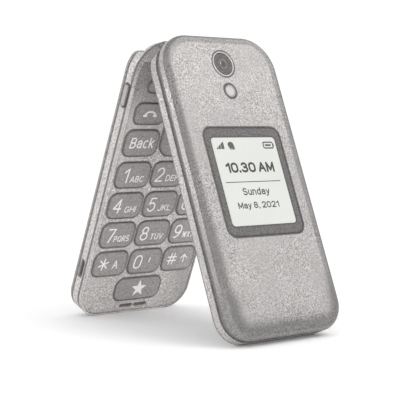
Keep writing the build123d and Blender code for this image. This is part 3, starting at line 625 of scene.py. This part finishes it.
# ------------------------------------------------------------------ mesh helpers for the printed and moulded details
def make_obj(name, bm, frame_m, mat, body, smooth=False):
    me = bpy.data.meshes.new(name)
    bmesh.ops.recalc_face_normals(bm, faces=bm.faces)
    bm.to_mesh(me)
    bm.free()
    me.transform(frame_m)
    me.materials.append(mat)
    if smooth:
        for p in me.polygons:
            p.use_smooth = True
    o = bpy.data.objects.new(name, me)
    scene.collection.objects.link(o)
    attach(o, body)
    return o


def arc(cx, cy, r, a0, a1, n=8):
    return [(cx + r * math.cos(math.radians(a0 + (a1 - a0) * i / n)), cy + r * math.sin(math.radians(a0 + (a1 - a0) * i / n)))
            for i in range(n + 1)]


def rounded(cx, cy, w, h, r, n=8):
    x0, x1, y0, y1 = cx - w / 2, cx + w / 2, cy - h / 2, cy + h / 2
    return (arc(x1 - r, y1 - r, r, 0, 90, n) + arc(x0 + r, y1 - r, r, 90, 180, n)
            + arc(x0 + r, y0 + r, r, 180, 270, n) + arc(x1 - r, y0 + r, r, 270, 360, n))


def plate(bm, outline, z0, z1, soft=0.0, rings=2):
    """A closed thin prism with its top edge rounded by soft."""
    def inset(pts, d):
        if d == 0:
            return pts
        n = len(pts)
        area = sum(pts[i][0] * pts[(i + 1) % n][1] - pts[(i + 1) % n][0] * pts[i][1] for i in range(n))
        s = 1 if area > 0 else -1
        out = []
        for i in range(n):
            p, a, b = Vector(pts[i]), Vector(pts[i - 1]), Vector(pts[(i + 1) % n])
            t0, t1 = (p - a), (b - p)
            if t0.length < 1e-9 or t1.length < 1e-9:
                out.append(pts[i])
                continue
            t0.normalize(); t1.normalize()
            n0, n1 = Vector((-t0.y, t0.x)) * s, Vector((-t1.y, t1.x)) * s
            m = n0 + n1
            if m.length < 1e-6:
                m = n0
            m.normalize()
            c = max(0.35, m.dot(n0))
            q = p + m * (d / c)
            out.append((q.x, q.y))
        return out
    loops = [(outline, z0)]
    if soft > 0:
        for i in range(rings + 1):
            a = math.pi / 2 * i / rings
            loops.append((inset(outline, soft * (1 - math.cos(a))), z1 - soft + soft * math.sin(a)))
    else:
        loops.append((outline, z1))
    rows = [[bm.verts.new((x, y, z)) for x, y in pts] for pts, z in loops]
    n = len(outline)
    for a, b in zip(rows, rows[1:]):
        for i in range(n):
            bm.faces.new((a[i], a[(i + 1) % n], b[(i + 1) % n], b[i]))
    bm.faces.new(list(reversed(rows[0])))
    bm.faces.new(rows[-1])


def stroke(bm, pts, w, z0, z1, closed=False, soft=0.0):
    """A printed line of width w along points, with round ends."""
    n = len(pts)
    P = [Vector(p) for p in pts]
    left, right = [], []
    for i in range(n):
        if closed:
            a, b = P[i - 1], P[(i + 1) % n]
        else:
            a, b = P[max(i - 1, 0)], P[min(i + 1, n - 1)]
        t = (b - a).normalized()
        nrm = Vector((-t.y, t.x))
        if 0 < i < n - 1 or closed:
            t0 = (P[i] - P[i - 1]).normalized()
            n0 = Vector((-t0.y, t0.x))
            c = max(0.5, nrm.dot(n0))
        else:
            c = 1.0
        left.append(P[i] + nrm * (w / 2 / c))
        right.append(P[i] - nrm * (w / 2 / c))
    if closed:
        rows = []
        for z in (z0, z1):
            rows.append(([bm.verts.new((p.x, p.y, z)) for p in left], [bm.verts.new((p.x, p.y, z)) for p in right]))
        (l0, r0), (l1, r1) = rows
        for i in range(n):
            j = (i + 1) % n
            bm.faces.new((l1[i], l1[j], r1[j], r1[i]))
            bm.faces.new((r0[i], r0[j], l0[j], l0[i]))
            bm.faces.new((l0[i], l0[j], l1[j], l1[i]))
            bm.faces.new((r1[i], r1[j], r0[j], r0[i]))
        return
    t_end = (P[-1] - P[-2]).normalized()
    t_start = (P[0] - P[1]).normalized()
    ang_e = math.degrees(math.atan2(t_end.y, t_end.x))
    ang_s = math.degrees(math.atan2(t_start.y, t_start.x))
    outline = [(p.x, p.y) for p in right]
    outline += arc(P[-1].x, P[-1].y, w / 2, ang_e - 90, ang_e + 90, 8)[1:-1]
    outline += [(p.x, p.y) for p in reversed(left)]
    outline += arc(P[0].x, P[0].y, w / 2, ang_s - 90, ang_s + 90, 8)[1:-1]
    plate(bm, outline, z0, z1, soft)


def union_prism(bm, polys, z0, z1):
    """Closed prism over the union of simple polygons that may overlap."""
    verts, faces = [], []
    for pts in polys:
        faces.append(list(range(len(verts), len(verts) + len(pts))))
        verts.extend(Vector((p[0], p[1])) for p in pts)
    out_v, _, out_f, _, _, src = delaunay_2d_cdt(verts, [], faces, 0, 1e-5)
    tris = []
    for t, o in zip(out_f, src):
        if o:
            p, q, r = (out_v[i] for i in t)
            if abs((q - p).cross(r - p)) > 1e-9:
                tris.append(tuple(t) if (q - p).cross(r - p) > 0 else (t[0], t[2], t[1]))
    used = sorted({i for t in tris for i in t})
    lo = {i: bm.verts.new((out_v[i].x, out_v[i].y, z0)) for i in used}
    hi = {i: bm.verts.new((out_v[i].x, out_v[i].y, z1)) for i in used}
    edges = {(t[k], t[(k + 1) % 3]) for t in tris for k in range(3)}
    for t in tris:
        bm.faces.new([hi[i] for i in t])
        bm.faces.new([lo[i] for i in reversed(t)])
    for i, j in edges:
        if (j, i) not in edges:
            bm.faces.new((lo[i], lo[j], hi[j], hi[i]))


def disc(cx, cy, r, n=14):
    return [(cx + r * math.cos(2 * math.pi * k / n), cy + r * math.sin(2 * math.pi * k / n)) for k in range(n)]


def pen(pts, w, caps="round"):
    """Outline polygons of a pen stroke of width w; caps are round, or flat where the end runs straight up or across."""
    P = [Vector(pts[0])]
    for p in pts[1:]:
        if (Vector(p) - P[-1]).length > 1e-4:
            P.append(Vector(p))
    closed = (P[0] - P[-1]).length < 1e-4
    polys = []
    for i in range(len(P) - 1):
        a, b = P[i].copy(), P[i + 1].copy()
        t = (b - a).normalized()
        straight = min(abs(t.x), abs(t.y)) < 0.16
        flat = caps == "flat" and straight and not closed
        if i == 0:
            if flat:
                a -= t * (w / 2)
            elif not closed:
                polys.append(disc(a.x, a.y, w / 2))
        if i == len(P) - 2:
            if flat:
                b += t * (w / 2)
            else:
                polys.append(disc(P[-1].x, P[-1].y, w / 2))
        else:
            polys.append(disc(P[i + 1].x, P[i + 1].y, w / 2))
        q = Vector((-t.y, t.x)) * (w / 2)
        polys.append([a + q, a - q, b - q, b + q])
    return polys


def el(cx, cy, rx, ry, a0, a1):
    n = max(3, int(abs(a1 - a0) / 15))
    return [(cx + rx * math.cos(math.radians(a0 + (a1 - a0) * i / n)), cy + ry * math.sin(math.radians(a0 + (a1 - a0) * i / n))) for i in range(n + 1)]


# plain sans letters as pen strokes; cap height 1, baseline 0
GLYPHS = {
    "0": (0.60, [el(.30, .70, .30, .30, 0, 180) + el(.30, .30, .30, .30, 180, 360) + [(.60, .70)]]),
    "1": (0.30, [[(0, .74), (.30, 1), (.30, 0)]]),
    "2": (0.58, [el(.29, .71, .285, .29, 165, -30) + [(.0, 0), (.58, 0)]]),
    "3": (0.58, [el(.27, .755, .26, .245, 155, -90), el(.28, .27, .295, .27, 90, -158)]),
    "4": (0.62, [[(.46, 0), (.46, 1), (0, .30), (.62, .30)]]),
    "5": (0.58, [[(.52, 1), (.10, 1), (.05, .55)] + el(.28, .32, .30, .32, 128, -155)]),
    "6": (0.58, [el(.60, .42, .58, .58, 98, 180), el(.30, .31, .28, .31, 0, 360)]),
    "7": (0.56, [[(0, 1), (.56, 1), (.18, 0)]]),
    "8": (0.58, [el(.29, .755, .245, .245, 0, 360), el(.29, .265, .29, .265, 0, 360)]),
    "9": (0.58, [el(-.02, .58, .58, .58, -82, 0), el(.28, .69, .28, .31, 0, 360)]),
    "A": (0.66, [[(0, 0), (.33, 1), (.66, 0)], [(.12, .34), (.54, .34)]]),
    "B": (0.56, [[(0, 0), (0, 1), (.30, 1)] + el(.30, .76, .22, .24, 90, -90) + [(0, .52)], [(.30, .52)] + el(.32, .26, .24, .26, 90, -90) + [(0, 0)]]),
    "C": (0.60, [el(.33, .5, .33, .5, 48, 312)]),
    "D": (0.60, [[(0, 0), (0, 1), (.22, 1)] + el(.22, .5, .38, .5, 90, -90) + [(0, 0)]]),
    "E": (0.50, [[(.5, 1), (0, 1), (0, 0), (.5, 0)], [(0, .52), (.44, .52)]]),
    "F": (0.48, [[(.48, 1), (0, 1), (0, 0)], [(0, .52), (.42, .52)]]),
    "G": (0.64, [el(.33, .5, .33, .5, 48, 345) + [(.66, .46), (.38, .46)]]),
    "H": (0.58, [[(0, 0), (0, 1)], [(.58, 0), (.58, 1)], [(0, .52), (.58, .52)]]),
    "I": (0.0, [[(0, 0), (0, 1)]]),
    "J": (0.42, [[(.42, 1), (.42, .22)] + el(.21, .22, .21, .22, 0, -175)]),
    "K": (0.56, [[(0, 0), (0, 1)], [(.54, 1), (0, .40)], [(.17, .58), (.56, 0)]]),
    "L": (0.46, [[(0, 1), (0, 0), (.46, 0)]]),
    "M": (0.72, [[(0, 0), (0, 1), (.36, .14), (.72, 1), (.72, 0)]]),
    "N": (0.58, [[(0, 0), (0, 1), (.58, 0), (.58, 1)]]),
    "O": (0.70, [el(.35, .5, .35, .5, 0, 360)]),
    "P": (0.54, [[(0, 0), (0, 1), (.28, 1)] + el(.28, .73, .26, .27, 90, -90) + [(0, .46)]]),
    "Q": (0.70, [el(.35, .5, .35, .5, 0, 360), [(.44, .26), (.70, -.02)]]),
    "R": (0.56, [[(0, 0), (0, 1), (.28, 1)] + el(.28, .74, .26, .26, 90, -90) + [(0, .48)], [(.28, .48), (.56, 0)]]),
    "S": (0.56, [el(.28, .745, .265, .255, 35, 270) + el(.28, .25, .28, .25, 80, -150)]),
    "T": (0.56, [[(0, 1), (.56, 1)], [(.28, 1), (.28, 0)]]),
    "U": (0.56, [[(0, 1), (0, .28)] + el(.28, .28, .28, .28, 195, 345) + [(.56, .28), (.56, 1)]]),
    "V": (0.60, [[(0, 1), (.30, 0), (.60, 1)]]),
    "W": (0.86, [[(0, 1), (.21, 0), (.43, 1), (.65, 0), (.86, 1)]]),
    "X": (0.56, [[(0, 0), (.56, 1)], [(0, 1), (.56, 0)]]),
    "Y": (0.58, [[(0, 1), (.29, .46), (.58, 1)], [(.29, .46), (.29, 0)]]),
    "Z": (0.54, [[(0, 1), (.54, 1), (0, 0), (.54, 0)]]),
    "a": (0.44, [el(.23, .51, .21, .22, 160, 0) + [(.44, 0)], [(.44, .43)] + el(.20, .21, .20, .21, 95, 290) + [(.44, .18)]]),
    "c": (0.42, [el(.23, .36, .23, .37, 50, 310)]),
    "d": (0.46, [el(.23, .36, .23, .37, 0, 360), [(.46, 1), (.46, 0)]]),
    "e": (0.46, [[(0, .38), (.46, .38)] + el(.23, .36, .23, .37, 8, 312)]),
    "k": (0.42, [[(0, 0), (0, 1)], [(.40, .72), (0, .27)], [(.15, .43), (.42, 0)]]),
    "n": (0.42, [[(0, 0), (0, .72)], [(0, .46)] + el(.21, .50, .21, .23, 165, 0) + [(.42, 0)]]),
    "u": (0.42, [[(0, .72), (0, .24)] + el(.21, .24, .21, .24, 195, 345) + [(.42, .26)], [(.42, .72), (.42, 0)]]),
    "y": (0.46, [[(0, .72), (.23, .02)], [(.46, .72), (.20, -.10), (.10, -.25), (0, -.27)]]),
    ",": (0.06, [[(.06, .03), (.0, -.16)]]),
    ".": (0.0, [[(0, .015), (0, 0)]]),
    "?": (0.46, [el(.23, .76, .23, .24, 165, -50) + [(.23, .40), (.23, .28)], [(.23, .015), (.23, 0)]]),
    " ": (0.16, []),
}


def letters_piece(name, words, frame_m, cx, cy, high, weight, z0, z1, mat, body, width=None, slant=0.0, gap=0.13, caps="round"):
    """Words whose capitals are high mm tall, centred on cx, cy, as thin raised print."""
    inner = high - weight
    total = sum(GLYPHS[c][0] for c in words)
    fixed = len([c for c in words if c != " "]) * weight + (len(words) - 1) * gap * high
    cond = 1.0 if width is None else (width - fixed) / (total * inner)
    x = -(total * inner * cond + fixed) / 2
    polys = []
    for c in words:
        w, strokes = GLYPHS[c]
        own = 0.0 if c == " " else weight
        for pts in strokes:
            line = []
            for px, py in pts:
                gy = weight / 2 + py * inner - high / 2
                line.append((cx + x + own / 2 + px * inner * cond + slant * gy, cy + gy))
            polys += pen(line, weight, caps)
        x += w * inner * cond + own + gap * high
    bm = bmesh.new()
    union_prism(bm, polys, z0, z1)
    return make_obj(name, bm, frame_m, mat, body)


# ------------------------------------------------------------------ outer display
SCREEN = mat_screen()
INK = mat_ink("display_ink", lin(62, 58, 58))
INK_SOFT = mat_ink("display_ink_soft", lin(80, 76, 76))
WZ = 9.77
bm = bmesh.new()
plate(bm, rounded(-0.15, -52.8, 30.3, 32.4, 1.4), WZ - 0.05, WZ + 0.010)
make_obj("outer_screen", bm, LID, SCREEN, "lid")
TZ0, TZ1 = WZ - 0.01, WZ + 0.035
letters_piece("clock_reading", "10.30 AM", LID, -0.25, -47.8, 3.8, 0.80, TZ0, TZ1, INK, "lid", width=22.9, gap=0.085, caps="flat")
letters_piece("weekday_reading", "Sunday", LID, -0.4, -56.7, 2.65, 0.46, TZ0, TZ1, INK_SOFT, "lid", width=12.8, caps="flat")
letters_piece("date_reading", "May 8, 2021", LID, -0.85, -61.7, 2.35, 0.43, TZ0, TZ1, INK_SOFT, "lid", width=19.4, caps="flat")
bm = bmesh.new()
union_prism(bm, pen([(-13.4, -53.15), (12.4, -53.15)], 0.30), TZ0, TZ1)
make_obj("display_rule", bm, LID, INK_SOFT, "lid")
bm = bmesh.new()
for x0, x1 in ((-13.6, -12.75), (-12.55, -11.55), (-11.35, -10.0)):
    y0 = -40.85
    ya, yb = y0 + 0.25 + (x0 + 13.6) * 0.72, y0 + 0.25 + (x1 + 13.6) * 0.72
    union_prism(bm, [[(x0, y0), (x1, y0), (x1, yb), (x0, ya)]], TZ0, TZ1)
make_obj("signal_icon", bm, LID, INK_SOFT, "lid")
bm = bmesh.new()
head = [(-6.7 + 1.38 * math.cos(2 * math.pi * k / 28), -39.3 + 1.12 * math.sin(2 * math.pi * k / 28)) for k in range(28)]
union_prism(bm, [head, [(-7.2, -40.2), (-6.2, -40.2), (-6.2, -40.8), (-7.2, -40.8)], [(-7.4, -40.65), (-5.2, -40.65), (-5.2, -41.05), (-7.4, -41.05)]], TZ0, TZ1)
make_obj("person_icon", bm, LID, INK_SOFT, "lid")
bm = bmesh.new()
union_prism(bm, pen(rounded(11.2, -39.6, 4.6, 2.2, 0.5, 4) + [rounded(11.2, -39.6, 4.6, 2.2, 0.5, 4)[0]], 0.50), TZ0, TZ1)
union_prism(bm, pen([(10.0, -39.6), (12.2, -39.6)], 0.7), TZ0, TZ1)
union_prism(bm, pen([(13.85, -39.95), (13.85, -39.25)], 0.3), TZ0, TZ1)
make_obj("battery_icon", bm, LID, INK_SOFT, "lid")

# ------------------------------------------------------------------ camera lens and flash details
def revolve(bm, profile, cx, cy, n=48):
    """Closed solid of revolution about the local z axis through cx, cy; profile is (radius, z) from axis to axis."""
    rings = []
    for r, z in profile:
        if r < 1e-6:
            rings.append([bm.verts.new((cx, cy, z))])
        else:
            rings.append([bm.verts.new((cx + r * math.cos(2 * math.pi * i / n), cy + r * math.sin(2 * math.pi * i / n), z)) for i in range(n)])
    for a, b in zip(rings, rings[1:]):
        for i in range(n):
            j = (i + 1) % n
            if len(a) == 1:
                bm.faces.new((a[0], b[i], b[j]))
            elif len(b) == 1:
                bm.faces.new((a[i], a[j], b[0]))
            else:
                bm.faces.new((a[i], a[j], b[j], b[i]))


def torus_band(bm, profile, cx, cy, n=64):
    """Closed ring: profile is a closed loop of (radius, z)."""
    m = len(profile)
    rings = [[bm.verts.new((cx + r * math.cos(2 * math.pi * i / n), cy + r * math.sin(2 * math.pi * i / n), z)) for i in range(n)] for r, z in profile]
    for k in range(m):
        a, b = rings[k], rings[(k + 1) % m]
        for i in range(n):
            j = (i + 1) % n
            bm.faces.new((a[i], a[j], b[j], b[i]))


RING_DARK = mat_plain("lens_ring_dark", lin(70, 66, 67), rough=0.4)
bm = bmesh.new()
torus_band(bm, [(2.25, 9.70), (2.55, 9.70), (2.55, 9.78), (2.47, 9.81), (2.33, 9.81), (2.25, 9.78)], 0.0, -CAM_V)
make_obj("camera_lens_ring", bm, LID, RING_DARK, "lid", smooth=False)
n = Net("lens_dome_glass", coat=1.0, coat_rough=0.03)
lx, ly, lz, _, _, _ = n.local("lid")
lr = n.circle(lx, ly, 0.0, -CAM_V)
lh = n.noise(0.4, 2.0)
LENS = n.set(color=n.shade(n.ramp(lr / 1.6, [(0.0, lin(36, 33, 36)), (0.55, lin(46, 42, 45)), (0.75, lin(86, 80, 84)), (1.0, lin(70, 66, 68))]),
                           lh.ramp(0.3, 0.7, 0.9, 1.1)), rough=lh.ramp(0.3, 0.7, 0.16, 0.10))
bm = bmesh.new()
revolve(bm, [(0.0, 9.93)] + [(1.55 * math.sin(t), 9.72 + 0.21 * math.cos(t)) for t in [math.pi / 2 * i / 8 for i in range(1, 9)]] + [(1.55, 9.70), (0.0, 9.70)], 0.0, -CAM_V)
make_obj("camera_lens", bm, LID, LENS, "lid", smooth=True)

# ------------------------------------------------------------------ legends on the keys
LEGEND = mat_ink("legend_print", lin(250, 248, 246))
LEGEND_DARK = mat_ink("legend_print_dark", lin(96, 92, 92))
KZ0, KZ1 = KEY_TOP - 0.02, KEY_TOP + 0.025
LEAN = 0.10


def legend(node, words, dx, dy, high, weight, name=None, width=None):
    kx, ky = KEYS[node][0], KEYS[node][1]
    name = name or "".join(c for c in words if c.isalnum()) or "mark"
    letters_piece("legend_" + node[4:] + "_" + name, words, KEY, kx + dx, ky + dy, high, weight, KZ0, KZ1, LEGEND, node, width=width, slant=LEAN)


places = {"1": (-3.2, 2.2), "2": (-3.9, 2.4), "3": (-3.9, 2.4), "4": (-3.5, 2.7), "5": (-3.9, 2.6), "6": (-3.8, 2.6), "7": (-3.1, 2.2),
          "8": (-3.8, 2.4), "9": (-3.9, 2.4)}
small = {"1": "ABC", "2": "DEF", "4": "GHI", "5": "JKL", "6": "MNO", "7": "PQRS", "8": "TUV", "9": "WXYZ"}
for c, (dx, sx) in places.items():
    legend("key_" + c, c, dx, -0.1, 5.9, 0.62)
    if c in small:
        legend("key_" + c, small[c], sx, -1.6, 2.6, 0.36, width={3: 6.2, 4: 7.2}[len(small[c])] - (0.9 if "I" in small[c] else 0))
legend("key_3", ".,?", 2.4, -1.6, 2.6, 0.36, name="stops")
legend("key_0", "0", -3.4, -0.1, 5.9, 0.62)
legend("key_asterisk", "A", 2.5, -0.4, 3.6, 0.44)
legend("key_back", "Back", 0.4, 0.1, 4.3, 0.56, width=10.9)
legend("key_menu", "Menu", 0.2, 0.1, 4.1, 0.54, width=11.2)


def mark(node, name, polys_of, mat=None):
    kx, ky = (KEYS[node] if node in KEYS else NAV)[:2]
    bm = bmesh.new()
    union_prism(bm, polys_of(kx, ky), KZ0, KZ1)
    make_obj(name, bm, KEY, mat or LEGEND, node)


def asterisk(kx, ky):
    out = []
    for a in (78, 22, 136):
        ux, uy = 2.3 * math.cos(math.radians(a)), 2.3 * math.sin(math.radians(a))
        out += pen([(kx - 3.2 - ux, ky - uy), (kx - 3.2 + ux, ky + uy)], 0.56)
    return out


def hash_mark(kx, ky):
    out = []
    for dx in (-0.8, 0.8):
        out += pen([(kx - 3.2 + dx - 0.45, ky - 2.3), (kx - 3.2 + dx + 0.45, ky + 2.3)], 0.5)
    for dy in (-0.8, 0.8):
        out += pen([(kx - 5.3, ky + dy), (kx - 1.1, ky + dy)], 0.5)
    return out


def shift_arrow(kx, ky):
    return pen([(kx + 1.4, ky), (kx + 2.9, ky + 1.6), (kx + 4.4, ky)], 0.42) + pen([(kx + 2.9, ky + 1.4), (kx + 2.9, ky - 1.8)], 0.42)


def tick(kx, ky):
    return pen([(kx + 2.4, ky + 1.3), (kx + 2.0, ky - 0.4)], 0.52)


def star(kx, ky):
    pts = []
    for i in range(10):
        a = math.radians(90 + 36 * i)
        r = 3.8 if i % 2 == 0 else 1.55
        pts.append((kx + 0.5 + r * math.cos(a), ky - 0.1 + r * math.sin(a)))
    return [pts]


def handset(kx, ky, up):
    # a plain telephone handset: a low arch with two blunt ends
    s = 1 if up else -1
    out = pen([(kx + 2.5 * math.cos(math.radians(t)), ky + s * (-0.9 + 1.7 * math.sin(math.radians(t)))) for t in range(20, 161, 10)], 0.72)
    for sx in (-1, 1):
        out += pen([(kx + sx * 2.75, ky - s * 0.75), (kx + sx * 1.75, ky - s * 0.75)], 0.95)
    return out


def dash(kx, ky):
    return pen([(kx - 1.9, ky), (kx + 1.9, ky)], 0.55)


def arrows(kx, ky):
    out = []
    for dx, dy in ((0, 1), (0, -1), (1, 0), (-1, 0)):
        r = 7.9 if dy else 5.9
        s = 0.95 if dy else 0.75
        cx, cy = kx + dx * r, ky + dy * r
        out.append([(cx + dx * s, cy + dy * s), (cx - dx * 0.5 * s - dy * s, cy - dy * 0.5 * s + dx * s),
                    (cx - dx * 0.5 * s + dy * s, cy - dy * 0.5 * s - dx * s)])
    return out


mark("key_asterisk", "legend_asterisk_mark", asterisk)
mark("key_hash", "legend_hash_mark", hash_mark)
mark("key_hash", "legend_hash_shift", shift_arrow)
mark("key_0", "legend_0_tick", tick)
mark("key_star", "legend_star_mark", star)
mark("key_call", "legend_call_mark", lambda x, y: handset(x, y, True))
mark("key_end", "legend_end_mark", lambda x, y: handset(x, y, False))
mark("key_soft_left", "legend_soft_left_mark", dash, LEGEND_DARK)
mark("key_soft_right", "legend_soft_right_mark", dash, LEGEND_DARK)
mark("nav_ring", "legend_nav_arrows", arrows)

# ------------------------------------------------------------------ stage, light, camera
def mat_floor():
    n = Net("floor_paper", rough=0.9)
    h = n.noise(60.0, 2.0)
    return n.set(color=n.shade((0.97, 0.97, 0.97, 1.0), h.ramp(0.3, 0.7, 0.995, 1.005)), rough=h.ramp(0.3, 0.7, 0.92, 0.88))


bm = bmesh.new()
cells = 8
grid = [[bm.verts.new((-8.0 + 16.0 * i / cells, -8.0 + 16.0 * j / cells, 0.0)) for i in range(cells + 1)] for j in range(cells + 1)]
for j in range(cells):
    for i in range(cells):
        bm.faces.new((grid[j][i], grid[j][i + 1], grid[j + 1][i + 1], grid[j + 1][i]))
me = bpy.data.meshes.new("floor")
bm.to_mesh(me)
bm.free()
me.materials.append(mat_floor())
floor = bpy.data.objects.new("floor", me)
scene.collection.objects.link(floor)

world = bpy.data.worlds.new("studio")
world.use_nodes = True
bg = world.node_tree.nodes["Background"]
bg.inputs[0].default_value = (1.0, 1.0, 1.0, 1.0)
bg.inputs[1].default_value = 1.06
scene.world = world


def area(name, loc, target, size, power, color=(1, 1, 1)):
    li = bpy.data.lights.new(name, "AREA")
    li.shape = "RECTANGLE"
    li.size, li.size_y = size
    li.energy = power
    li.color = color
    o = bpy.data.objects.new(name, li)
    o.location = loc
    o.rotation_euler = (Vector(target) - Vector(loc)).to_track_quat("-Z", "Y").to_euler()
    scene.collection.objects.link(o)
    return o


area("key_light", (0.30, -0.75, 0.95), (0, 0, 0.05), (0.5, 0.5), 3.0)
area("fill_light", (-0.90, -0.62, 0.15), (0, 0, 0.05), (0.6, 0.4), 3.0)

cam = bpy.data.cameras.new("camera")
cam.sensor_fit = "HORIZONTAL"
cam.sensor_width = 36.0
cam.lens = 1283.61 / 400.0 * 36.0
cam.clip_start, cam.clip_end = 0.01, 50.0
cam_o = bpy.data.objects.new("camera", cam)
yaw, pitch, roll = math.radians(40.67), math.radians(-3.71), math.radians(0.4)
cam_o.location = (-0.30684, -0.35760, 0.07673)
fwd = Vector((math.sin(yaw) * math.cos(pitch), math.cos(yaw) * math.cos(pitch), math.sin(pitch)))
level = fwd.cross(Vector((0, 0, 1))).normalized()
upright = level.cross(fwd)
right = level * math.cos(roll) + upright * math.sin(roll)
up = right.cross(fwd)
cam_o.rotation_euler = Matrix((right, up, -fwd)).transposed().to_euler()
scene.collection.objects.link(cam_o)
scene.camera = cam_o

scene.view_settings.view_transform = "Standard"
scene.view_settings.look = "None"
scene.view_settings.exposure = 0.0
scene.view_settings.gamma = 1.0

bpy.context.view_layer.update()
